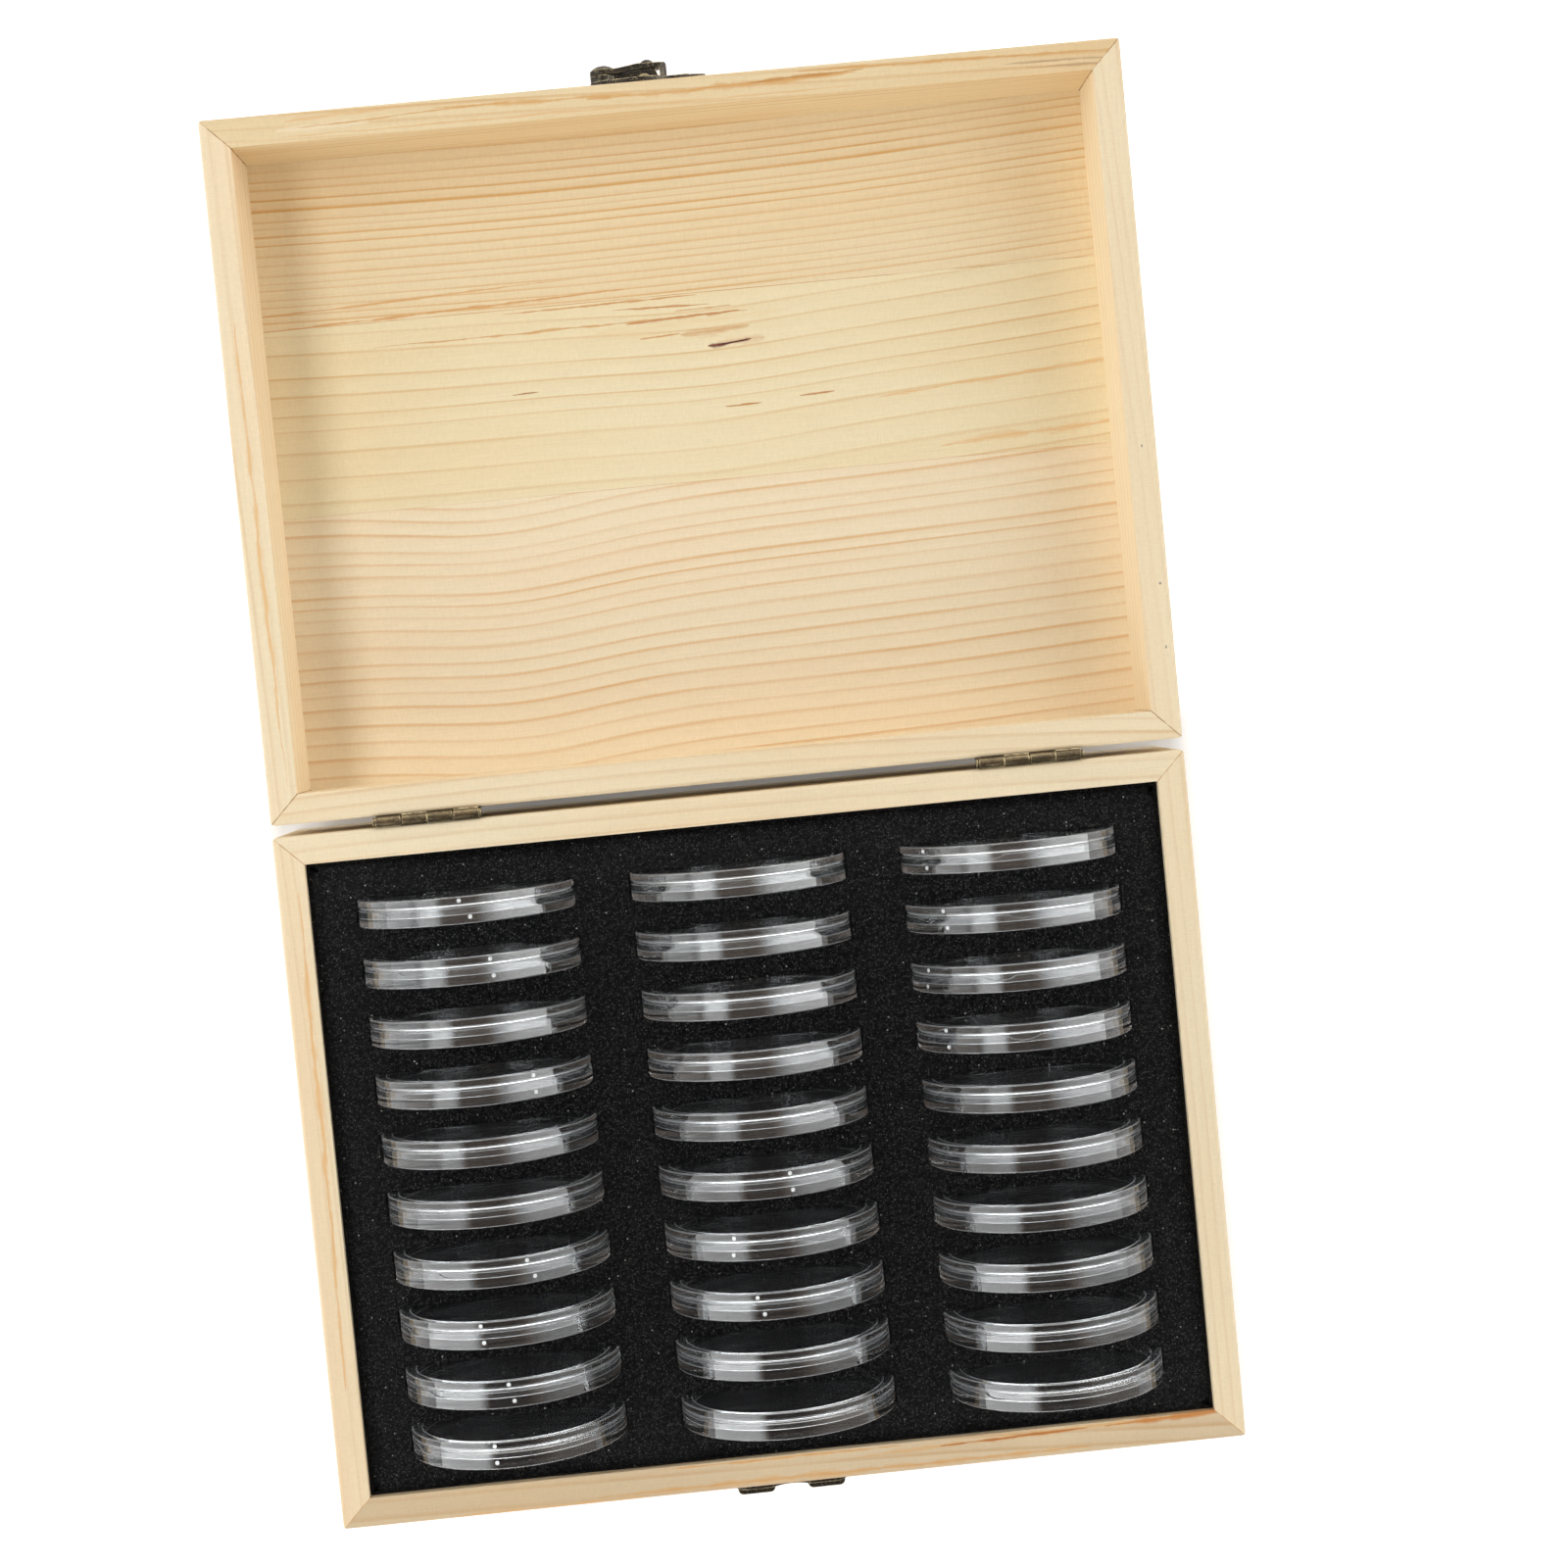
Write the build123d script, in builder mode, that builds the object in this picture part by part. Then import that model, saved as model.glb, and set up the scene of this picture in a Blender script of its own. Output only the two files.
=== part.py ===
from build123d import *
import os

os.makedirs("parts", exist_ok=True)

# Coin display case, lying open flat. Millimetres, +Z up, +X to the right and +Y towards the lid.
# The origin is the centre of the base's underside. Base and lid are mitred trays with their rims
# level, and the lid turns about the hinge axis in the gap between them.

# Case
case_width = 218.0
case_depth = 166.5
rail_thickness = 7.0
base_height = 40.0
lid_height = 27.5
hinge_gap = 2.8
rim_gap = 0.2
corner_round = 1.2
outer_edge_round = 0.9
inner_edge_round = 0.4
rabbet_width = 3.5
bottom_thickness = 4.0
lid_panel_thickness = 3.5
rear_board_width = 69.8
middle_board_width = 45.8

# Foam
foam_recess = 1.5
foam_backing_thickness = 6.0

# Coin capsules, standing on edge with their round axis along Y
capsule_radius = 25.8
capsule_thickness = 6.4
capsule_floor = 2.0
capsule_bore_radius = 23.1
capsule_cover_thickness = 2.2
capsule_lift = 0.3
capsule_columns = ("left", "middle", "right")
capsule_rows = 10
foam_side_margin = 10.9
foam_end_margin = 9.4
slot_end_clearance = 0.3
slot_face_clearance = 0.2

# Hinges
hinge_inset = 37.0
hinge_length = 24.6
leaf_height = 13.0
leaf_thickness = 0.7
leaf_corner = 2.2
barrel_radius = 1.25
knuckle_count = 4
knuckle_gap = 0.2
knuckle_shift = 0.15
knuckle_clearance = 0.2
pin_radius = 0.6
pin_clearance = 0.05
pin_head_radius = 1.05
pin_head_length = 0.4
hinge_nail_offset = 7.8
hinge_nail_drop = 8.0

# Nails
nail_head_radius = 1.2
nail_head_height = 0.4
nail_shank_width = 1.0
nail_length = 5.5
nail_clearance = 0.03
nail_hole_spare = 0.3

# Latch on the lid's front wall: reaches run from the pivot along the wall, heights out from the wall
pivot_x = -13.4
pivot_drop = 5.6
plate_thickness = 1.2
plate_end_radius = 3.2
shoulder_reach = 9.4
shoulder_offset = 2.6
shoulder_radius = 2.2
tip_reach = 22.6
tip_radius = 1.6
scallop_reach = 16.2
scallop_offset = 7.6
scallop_radius = 5.0
pad_radius = 3.1
pad_height = 2.6
land_width = 3.8
land_reach = 12.4
land_toe = 0.8
ramp_rise = 0.8
ramp_run = 5.0
lever_ramp_reach = 3.3
land_ramp_reach = 4.6
latch_nail_reach = 9.6
latch_nail_offset = 3.5
wing_nail_reach = 19.2
lever_clearance = 0.15
lever_thickness = 1.2
lever_eye_radius = 3.1
lever_end_radius = 1.9
nib_reach = 13.4
nib_length = 1.7
nib_height = 1.6
nib_round = 0.6
knob_reach = 10.5
knob_radius = 1.8
knob_height = 1.1
rivet_radius = 1.0
rivet_clearance = 0.05
rivet_head_radius = 3.0
rivet_head_height = 1.2
rivet_head_gap = 0.1

# Keeper on the base's front wall, with a catch at each end so that it suits either hand
keeper_x = -1.25
keeper_width = 26.7
keeper_height = 11.0
keeper_drop = 1.4
keeper_thickness = 0.9
keeper_corner = 3.0
keeper_dip_radius = 6.0
keeper_dip = 2.0
keeper_foot_radius = 9.0
keeper_foot_rise = 1.6
catch_height = 2.4
catch_inset = 0.4
catch_width = 9.0
catch_drop = 3.0
catch_clearance = 0.3
catch_round = 1.3
keeper_nail_inset = 3.8
keeper_nail_drop = 10.3

# Worked-out places
rim_z = base_height
lid_floor_z = base_height - lid_height
front_wall_y = -case_depth / 2
rear_wall_y = case_depth / 2
lid_rear_y = rear_wall_y + hinge_gap
lid_front_y = lid_rear_y + case_depth
hinge_y = rear_wall_y + hinge_gap / 2
hinge_z = rim_z + rim_gap / 2
board_inset = rail_thickness - rabbet_width
hinge_offset = case_width / 2 - hinge_inset
inner_width = case_width - 2 * rail_thickness
inner_depth = case_depth - 2 * rail_thickness
slot_length = 2 * (capsule_radius + slot_end_clearance)
slot_width = capsule_thickness + 2 * slot_face_clearance
column_pitch = (inner_width - 2 * foam_side_margin - slot_length) / (len(capsule_columns) - 1)
row_pitch = (inner_depth - 2 * foam_end_margin - slot_width) / (capsule_rows - 1)
slot_floor_z = bottom_thickness + foam_backing_thickness
foam_top_z = rim_z - foam_recess
capsule_z = slot_floor_z + capsule_lift + capsule_radius
lever_foot = pad_height + lever_clearance
raised_foot = lever_foot + ramp_rise
raised_top = raised_foot + lever_thickness
nail_hole_width = nail_shank_width + 2 * nail_clearance

# Nail spots: along +X, and down from the rim
hinge_nail_spots = [
    (side * hinge_offset + end * hinge_nail_offset, hinge_nail_drop)
    for side in (-1, 1)
    for end in (-1, 1)
]
latch_nail_spots = [
    (pivot_x + latch_nail_reach, pivot_drop - latch_nail_offset),
    (pivot_x + latch_nail_reach, pivot_drop + latch_nail_offset),
    (pivot_x + wing_nail_reach, pivot_drop),
]
keeper_nail_spots = [
    (keeper_x + side * (keeper_width / 2 - keeper_nail_inset), keeper_nail_drop) for side in (-1, 1)
]


def write(shape, name):
    """Labels a finished piece and writes its STEP file."""
    shape.label = name
    export_step(shape, f"parts/{name}.step")


def wall_plane(wall_y, outward, x=0.0, z=rim_z):
    """A plane on a front or rear wall: x along outward times +X, y down, normal out of the wall."""
    return Plane(origin=(x, wall_y, z), x_dir=(outward, 0, 0), z_dir=(0, outward, 0))


def section_plane(x, y, z):
    """A level plane with x along +X and y along +Y, for profiles that stand out from a wall."""
    return Plane(origin=(x, y, z), x_dir=(1, 0, 0), z_dir=(0, 0, 1))


def across_plane(x, y, z):
    """A plane square to X with x along +Y and y along +Z."""
    return Plane(origin=(x, y, z), x_dir=(0, 1, 0), z_dir=(1, 0, 0))


base_front_wall = wall_plane(front_wall_y, -1)
base_rear_wall = wall_plane(rear_wall_y, 1)
lid_rear_wall = wall_plane(lid_rear_y, -1)
lid_front_wall = wall_plane(lid_front_y, 1)


def on_wall(wall, spots):
    """Nail spots in a wall plane's own coordinates."""
    return [(wall.x_dir.X * x, drop) for x, drop in spots]


# Case: two trays of mitred rails, their boards let into a rabbet underneath
def make_rail(outer_middle, inward, length, width, height, board, nailing=None):
    """A rail: its section, drawn inward and up from the outer bottom edge, is drawn out along the
    wall, cut at 45 degrees at both ends and rounded with the tray's corners. width is the tray's
    size across the rail. nailing is a wall plane, its nail spots and the thickness of the metal
    over them."""
    along = inward.cross(Vector(0, 0, 1))
    tray_middle = outer_middle + inward * (width / 2)
    with BuildPart() as rail:
        with BuildSketch(Plane(origin=outer_middle, x_dir=inward, z_dir=along)) as section:
            with BuildLine():
                Polyline(
                    (0, 0),
                    (board_inset, 0),
                    (board_inset, board),
                    (rail_thickness, board),
                    (rail_thickness, height),
                    (0, height),
                    close=True,
                )
            make_face()
            outer_corners = section.vertices().group_by(Axis.X)[0]
            inner_corner = section.vertices().group_by(Axis.Y)[-1].sort_by(Axis.X)[-1]
            fillet(outer_corners, radius=outer_edge_round)
            fillet(inner_corner, radius=inner_edge_round)
        extrude(amount=length / 2, both=True)
        for end in (-1, 1):
            corner = outer_middle + along * (end * length / 2)
            split(bisect_by=Plane(origin=corner, z_dir=along * end + inward), keep=Keep.BOTTOM)
        with BuildSketch(Plane(origin=tray_middle, x_dir=along)):
            RectangleRounded(length, width, corner_round)
        extrude(amount=height, mode=Mode.INTERSECT)
        if nailing:
            wall, spots, metal = nailing
            with BuildSketch(wall):
                with Locations(*on_wall(wall, spots)):
                    Rectangle(nail_hole_width, nail_hole_width)
            extrude(amount=metal - nail_length - nail_hole_spare, mode=Mode.SUBTRACT)
    return rail.part


def write_tray(prefix, sides, start_y, floor_z, height, board, start_nailing, end_nailing):
    """Writes the four rails of the base or of the lid. sides names the rail at start_y and the rail
    at the other end along +Y."""
    start = Vector(0, start_y, floor_z)
    end = Vector(0, start_y + case_depth, floor_z)
    left = Vector(-case_width / 2, start_y + case_depth / 2, floor_z)
    right = Vector(case_width / 2, start_y + case_depth / 2, floor_z)
    depthwise, across = Vector(0, 1, 0), Vector(1, 0, 0)
    rails = {
        sides[0]: make_rail(start, depthwise, case_width, case_depth, height, board, start_nailing),
        sides[1]: make_rail(end, -depthwise, case_width, case_depth, height, board, end_nailing),
        "left": make_rail(left, across, case_depth, case_width, height, board),
        "right": make_rail(right, -across, case_depth, case_width, height, board),
    }
    for side, rail in rails.items():
        write(rail, f"{prefix}_{side}_rail")


def make_board(start_y, width, floor_z, thickness):
    """A board across the whole rabbet, from start_y towards +Y."""
    with BuildPart() as board:
        with BuildSketch(Plane.XY.offset(floor_z)):
            with Locations((0, start_y + width / 2)):
                Rectangle(case_width - 2 * board_inset, width)
        extrude(amount=thickness)
    return board.part


write_tray(
    "base",
    ("front", "rear"),
    front_wall_y,
    0,
    base_height,
    bottom_thickness,
    (base_front_wall, keeper_nail_spots, keeper_thickness),
    (base_rear_wall, hinge_nail_spots, leaf_thickness),
)
# The lid lies on its back beyond the hinges, so its front wall is the one farthest along +Y
write_tray(
    "lid",
    ("rear", "front"),
    lid_rear_y,
    lid_floor_z,
    lid_height,
    lid_panel_thickness,
    (lid_rear_wall, hinge_nail_spots, leaf_thickness),
    (lid_front_wall, latch_nail_spots, plate_thickness),
)

board_depth = case_depth - 2 * board_inset
write(make_board(front_wall_y + board_inset, board_depth, 0, bottom_thickness), "base_bottom")

front_board_width = board_depth - rear_board_width - middle_board_width
lid_boards = {"rear": rear_board_width, "middle": middle_board_width, "front": front_board_width}
glue_line_y = lid_rear_y + board_inset
for place, width in lid_boards.items():
    write(make_board(glue_line_y, width, lid_floor_z, lid_panel_thickness), f"lid_board_{place}")
    glue_line_y += width


# Foam: a plain backing sheet, and a thick insert on it with a slot for each capsule cut through
with BuildPart() as foam_backing:
    with BuildSketch(Plane.XY.offset(bottom_thickness)):
        Rectangle(inner_width, inner_depth)
    extrude(amount=foam_backing_thickness)
write(foam_backing.part, "foam_backing")

with BuildPart() as foam_insert:
    with BuildSketch(Plane.XY.offset(slot_floor_z)):
        Rectangle(inner_width, inner_depth)
        with GridLocations(column_pitch, row_pitch, len(capsule_columns), capsule_rows):
            Rectangle(slot_length, slot_width, mode=Mode.SUBTRACT)
    extrude(amount=foam_top_z - slot_floor_z)
write(foam_insert.part, "foam_insert")


# Coin capsules: a round dish, and a flat cover that closes it on the side towards the hinges
def make_capsule(centre):
    """A capsule standing on edge: the dish is turned about the Y axis, the cover is a plain disc."""
    back = -capsule_thickness / 2
    parting = capsule_thickness / 2 - capsule_cover_thickness
    with BuildPart() as dish:
        with BuildSketch(across_plane(*centre)):
            with BuildLine():
                Polyline(
                    (back, 0),
                    (back, capsule_radius),
                    (parting, capsule_radius),
                    (parting, capsule_bore_radius),
                    (back + capsule_floor, capsule_bore_radius),
                    (back + capsule_floor, 0),
                    close=True,
                )
            make_face()
        revolve(axis=Axis(centre, (0, 1, 0)))
    with BuildPart() as cover:
        with BuildSketch(Plane(origin=centre, z_dir=(0, 1, 0)).offset(parting)):
            Circle(capsule_radius)
        extrude(amount=capsule_cover_thickness)
    return Compound(children=[dish.part, cover.part])


middle_column = (len(capsule_columns) - 1) / 2
middle_row = (capsule_rows - 1) / 2
for column, column_name in enumerate(capsule_columns):
    for row in range(capsule_rows):
        x = (column - middle_column) * column_pitch
        y = (middle_row - row) * row_pitch
        write(make_capsule((x, y, capsule_z)), f"capsule_{column_name}_{row + 1:02d}")


# Hinges: a leaf on each rear wall, rolled into every other one of the knuckles in the gap
knuckle_pitch = hinge_length / knuckle_count
knuckle_offsets = [(index - (knuckle_count - 1) / 2) * knuckle_pitch for index in range(knuckle_count)]
pin_length = hinge_length + 2 * knuckle_shift


def make_leaf(wall_y, outward, hinge_x, first_knuckle, shift):
    """A leaf with its own knuckles, moved along by shift, and notches for the other leaf's."""
    wall = wall_plane(wall_y, outward, hinge_x, hinge_z)
    with BuildPart() as leaf:
        with BuildSketch(wall) as outline:
            with Locations((0, leaf_height / 2)):
                Rectangle(hinge_length - knuckle_gap, leaf_height)
            fillet(outline.vertices().group_by(Axis.Y)[-1], radius=leaf_corner)
            for offset in knuckle_offsets[1 - first_knuckle :: 2]:
                with Locations((outward * offset, 0)):
                    Rectangle(
                        knuckle_pitch + knuckle_gap,
                        2 * (barrel_radius + knuckle_clearance),
                        mode=Mode.SUBTRACT,
                    )
            leaf_nail_drop = hinge_nail_drop + rim_gap / 2
            with Locations((-hinge_nail_offset, leaf_nail_drop), (hinge_nail_offset, leaf_nail_drop)):
                Rectangle(nail_hole_width, nail_hole_width, mode=Mode.SUBTRACT)
        extrude(amount=leaf_thickness)
        for offset in knuckle_offsets[first_knuckle::2]:
            with BuildSketch(across_plane(hinge_x + offset + shift, hinge_y, hinge_z)):
                Circle(barrel_radius)
            extrude(amount=(knuckle_pitch - knuckle_gap) / 2, both=True)
        with BuildSketch(across_plane(hinge_x, hinge_y, hinge_z)):
            Circle(pin_radius + pin_clearance)
        extrude(amount=pin_length, both=True, mode=Mode.SUBTRACT)
    return leaf.part


def make_pin(hinge_x):
    """A hinge pin with a flat head at each end of the barrel."""
    with BuildPart() as pin:
        with BuildSketch(across_plane(hinge_x, hinge_y, hinge_z)):
            Circle(pin_radius)
        extrude(amount=pin_length / 2, both=True)
        for end in (-1, 1):
            with BuildSketch(across_plane(hinge_x + end * pin_length / 2, hinge_y, hinge_z)):
                Circle(pin_head_radius)
            extrude(amount=end * pin_head_length)
    return pin.part


# The lid's knuckles sit to the right of the middle of their play on the left hinge, and to the left
# of it on the right hinge
for side, direction in (("left", -1), ("right", 1)):
    hinge_x = direction * hinge_offset
    write(make_leaf(rear_wall_y, 1, hinge_x, 0, 0), f"{side}_hinge_base_leaf")
    write(make_leaf(lid_rear_y, -1, hinge_x, 1, -direction * knuckle_shift), f"{side}_hinge_lid_leaf")
    write(make_pin(hinge_x), f"{side}_hinge_pin")


# Latch: a plate with a raised land, and a lever riveted to it that turns in the plane of the wall.
# Its lifted end clears the keeper, and its nib turns down behind the catch.
latch_wall = wall_plane(lid_front_y, 1, pivot_x, rim_z - pivot_drop)
latch_section = section_plane(pivot_x, lid_front_y, rim_z - pivot_drop)


def make_dome(reach, foot, radius, height):
    """A low round cap on the latch, bulging out from a height above the wall."""
    with BuildPart() as dome:
        with BuildSketch(latch_section):
            with BuildLine():
                TangentArc((reach, foot + height), (reach + radius, foot), tangent=(1, 0))
                Polyline((reach + radius, foot), (reach, foot), (reach, foot + height))
            make_face()
        revolve(axis=Axis((pivot_x + reach, lid_front_y, rim_z - pivot_drop), (0, 1, 0)))
    return dome.part


with BuildPart() as latch_plate:
    with BuildSketch(latch_wall):
        Circle(plate_end_radius)
        with Locations((shoulder_reach, -shoulder_offset), (shoulder_reach, shoulder_offset)):
            Circle(shoulder_radius)
        with Locations((tip_reach, 0)):
            Circle(tip_radius)
        make_hull()
        with Locations((scallop_reach, -scallop_offset), (scallop_reach, scallop_offset)):
            Circle(scallop_radius, mode=Mode.SUBTRACT)
    extrude(amount=plate_thickness)
    with BuildSketch(latch_wall.offset(plate_thickness)):
        Circle(pad_radius)
    extrude(amount=pad_height - plate_thickness)
    with BuildSketch(latch_section):
        with BuildLine():
            Polyline(
                (0, plate_thickness),
                (land_reach + land_toe, plate_thickness),
                (land_reach, pad_height + ramp_rise),
                (land_ramp_reach + ramp_run, pad_height + ramp_rise),
                (land_ramp_reach, pad_height),
                (0, pad_height),
                close=True,
            )
        make_face()
    extrude(amount=land_width / 2, both=True)
    with BuildSketch(lid_front_wall):
        with Locations(*latch_nail_spots):
            Rectangle(nail_hole_width, nail_hole_width)
        with Locations((pivot_x, pivot_drop)):
            Circle(rivet_radius + rivet_clearance)
    extrude(amount=pad_height, mode=Mode.SUBTRACT)
write(latch_plate.part, "latch_plate")

nib_tip = nib_reach + nib_length
knob = make_dome(knob_reach, raised_top, knob_radius, knob_height)
with BuildPart() as latch_lever:
    with BuildSketch(latch_section) as lever_section:
        with BuildLine():
            Polyline(
                (-lever_eye_radius, lever_foot),
                (lever_ramp_reach, lever_foot),
                (lever_ramp_reach + ramp_run, raised_foot),
                (nib_reach, raised_foot),
                (nib_reach, nib_height),
                (nib_tip, nib_height),
                (nib_tip, raised_top),
                (lever_ramp_reach + ramp_run, raised_top),
                (lever_ramp_reach, lever_foot + lever_thickness),
                (-lever_eye_radius, lever_foot + lever_thickness),
                close=True,
            )
        make_face()
        fillet(lever_section.vertices().group_by(Axis.X)[-1], radius=nib_round)
    extrude(amount=lever_eye_radius, both=True)
    with BuildSketch(latch_wall):
        Circle(lever_eye_radius)
        with Locations((nib_tip - lever_end_radius, 0)):
            Circle(lever_end_radius)
        make_hull()
    extrude(amount=raised_top, mode=Mode.INTERSECT)
    add(knob)
    with BuildSketch(latch_wall):
        Circle(rivet_radius + rivet_clearance)
    extrude(amount=raised_top, mode=Mode.SUBTRACT)
write(latch_lever.part, "latch_lever")

rivet_shoulder = lever_foot + lever_thickness + rivet_head_gap
rivet_head = make_dome(0, rivet_shoulder, rivet_head_radius, rivet_head_height)
with BuildPart() as latch_rivet:
    with BuildSketch(latch_wall):
        Circle(rivet_radius)
    extrude(amount=rivet_shoulder)
    add(rivet_head)
write(latch_rivet.part, "latch_rivet")


# Keeper: a plate with two catches. The lower edge of each is an arc about the closed lever's pivot.
keeper_wall = wall_plane(front_wall_y, -1, keeper_x)
with BuildPart() as keeper_plate:
    with BuildSketch(keeper_wall) as outline:
        with Locations((0, keeper_drop + keeper_height / 2)):
            Rectangle(keeper_width, keeper_height)
        fillet(outline.vertices(), radius=keeper_corner)
        with Locations((0, keeper_drop + keeper_dip - keeper_dip_radius)):
            Circle(keeper_dip_radius, mode=Mode.SUBTRACT)
        with Locations((0, keeper_drop + keeper_height - keeper_foot_rise + keeper_foot_radius)):
            Circle(keeper_foot_radius, mode=Mode.SUBTRACT)
    extrude(amount=keeper_thickness)
    catch_offset = keeper_width / 2 - catch_inset - catch_width / 2
    for side in (-1, 1):
        with BuildSketch(keeper_wall.offset(keeper_thickness)):
            with Locations((side * catch_offset, catch_drop + catch_width / 2)):
                Rectangle(catch_width, catch_width)
            with Locations((side * (keeper_x - pivot_x), -pivot_drop - rim_gap)):
                Circle(nib_reach - catch_clearance, mode=Mode.INTERSECT)
        extrude(amount=catch_height - keeper_thickness)
    fillet(keeper_plate.faces().group_by(Axis.Y)[0].edges().filter_by(Axis.Z), radius=catch_round)
    with BuildSketch(base_front_wall):
        with Locations(*on_wall(base_front_wall, keeper_nail_spots)):
            Rectangle(nail_hole_width, nail_hole_width)
    extrude(amount=keeper_thickness, mode=Mode.SUBTRACT)
write(keeper_plate.part, "keeper_plate")


# Nails: round flat heads on the metal, and square shanks through it into the rails
def write_nails(name, wall, spots, metal):
    """Writes a row of nails as one node of separate solids."""
    nails = []
    for spot in on_wall(wall, spots):
        with BuildPart() as nail:
            with BuildSketch(wall.offset(metal)):
                with Locations(spot):
                    Circle(nail_head_radius)
            extrude(amount=nail_head_height)
            with BuildSketch(wall.offset(metal)):
                with Locations(spot):
                    Rectangle(nail_shank_width, nail_shank_width)
            extrude(amount=-nail_length)
        nails.append(nail.part)
    write(Compound(children=nails), name)


write_nails("hinge_base_nails", base_rear_wall, hinge_nail_spots, leaf_thickness)
write_nails("hinge_lid_nails", lid_rear_wall, hinge_nail_spots, leaf_thickness)
write_nails("latch_nails", lid_front_wall, latch_nail_spots, plate_thickness)
write_nails("keeper_nails", base_front_wall, keeper_nail_spots, keeper_thickness)
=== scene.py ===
import bpy
import math
import numpy as np
from mathutils import Matrix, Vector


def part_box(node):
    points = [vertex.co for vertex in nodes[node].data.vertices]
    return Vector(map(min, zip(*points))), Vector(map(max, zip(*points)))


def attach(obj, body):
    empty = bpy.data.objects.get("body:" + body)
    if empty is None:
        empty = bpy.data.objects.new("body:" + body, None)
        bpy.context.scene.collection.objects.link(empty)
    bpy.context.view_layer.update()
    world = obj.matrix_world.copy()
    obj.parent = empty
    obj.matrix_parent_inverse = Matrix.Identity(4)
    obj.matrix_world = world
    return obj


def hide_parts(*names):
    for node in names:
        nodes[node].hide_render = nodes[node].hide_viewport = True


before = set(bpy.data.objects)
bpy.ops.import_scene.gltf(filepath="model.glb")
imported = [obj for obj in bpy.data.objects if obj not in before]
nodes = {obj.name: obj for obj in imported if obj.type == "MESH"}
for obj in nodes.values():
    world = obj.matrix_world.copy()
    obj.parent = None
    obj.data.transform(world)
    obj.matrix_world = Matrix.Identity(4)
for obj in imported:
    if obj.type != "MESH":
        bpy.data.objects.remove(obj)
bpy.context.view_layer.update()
print("stage: frame loaded")

millimetre = 0.001
weldDigits = 5  # points that agree to this many digits of a millimetre are one


# A colour given as 0-255 screen values, turned to linear light by the sRGB curve.
def tone(red, green, blue):
    channels = np.array([red, green, blue], float) / 255
    linear = np.where(channels <= 0.04045, channels / 12.92, ((channels + 0.055) / 1.055) ** 2.4)
    return (*linear.tolist(), 1.0)


# A node of one kind; its inputs are values or the sockets that feed them.
def addNode(tree, kind, inputs=None, **settings):
    node = tree.nodes.new(kind)
    for key, value in settings.items():
        setattr(node, key, value)
    for key, value in (inputs or {}).items():
        if isinstance(value, bpy.types.NodeSocket):
            tree.links.new(value, node.inputs[key])
        else:
            node.inputs[key].default_value = value
    return node


# One arithmetic step on one to three values.
def calc(tree, operation, *values, clamp=False):
    settings = {"operation": operation, "use_clamp": clamp}
    return addNode(tree, "ShaderNodeMath", dict(enumerate(values)), **settings).outputs[0]


# One arithmetic step on vectors.
def vectorCalc(tree, operation, *values):
    node = addNode(tree, "ShaderNodeVectorMath", dict(enumerate(values)), operation=operation)
    return node.outputs["Value" if operation in ("LENGTH", "DOT_PRODUCT") else "Vector"]


# The X, Y and Z of a vector.
def split(tree, vector):
    return addNode(tree, "ShaderNodeSeparateXYZ", {0: vector}).outputs


# A vector of three values.
def join(tree, *values):
    return addNode(tree, "ShaderNodeCombineXYZ", dict(enumerate(values))).outputs[0]


# Smooth step of a value, from one level to another.
def smoothStep(tree, value, low, high, start=0.0, end=1.0):
    inputs = {"Value": value, "From Min": low, "From Max": high, "To Min": start, "To Max": end}
    return addNode(tree, "ShaderNodeMapRange", inputs, interpolation_type="SMOOTHSTEP").outputs[0]


# Noise read at a vector that is stretched by three scales, then moved by a seed and a shift.
def noiseAt(tree, vector, stretch, detail=2.0, rough=0.5, shift=0.0, seed=None):
    if seed is None:
        seed = (shift, shift, shift)
    elif shift:
        seed = calc(tree, "ADD", seed, shift)
    moved = vectorCalc(tree, "MULTIPLY_ADD", vector, stretch, seed)
    inputs = {"Vector": moved, "Scale": 1.0, "Detail": detail, "Roughness": rough}
    return addNode(tree, "ShaderNodeTexNoise", inputs, noise_dimensions="3D").outputs["Fac"]


# Two colours mixed by a factor, in one of the blend modes; a Mix node's colours are its inputs 6 and 7.
def mixColour(tree, factor, first, second, blend="MIX"):
    settings = {"data_type": "RGBA", "blend_type": blend, "clamp_factor": True}
    return addNode(tree, "ShaderNodeMix", {0: factor, 6: first, 7: second}, **settings).outputs[2]


# A shader node group, its inputs and outputs named by kind; its wire function takes the inputs' sockets by
# name and gives the outputs' sockets by name.
def makeGroup(name, inputs, outputs, wire):
    group = bpy.data.node_groups.new(name, "ShaderNodeTree")
    for way, kinds in (("INPUT", inputs), ("OUTPUT", outputs)):
        for kind, names in kinds.items():
            for socketName in names:
                group.interface.new_socket(name=socketName, in_out=way, socket_type="NodeSocket" + kind)
    entry, leave = group.nodes.new("NodeGroupInput"), group.nodes.new("NodeGroupOutput")
    for socketName, socket in wire(group, {socket.name: socket for socket in entry.outputs}).items():
        group.links.new(socket, leave.inputs[socketName])
    return group


# The outputs of a node group placed in a material with its own values.
def useGroup(tree, group, inputs):
    return addNode(tree, "ShaderNodeGroup", inputs, node_tree=group).outputs


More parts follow.
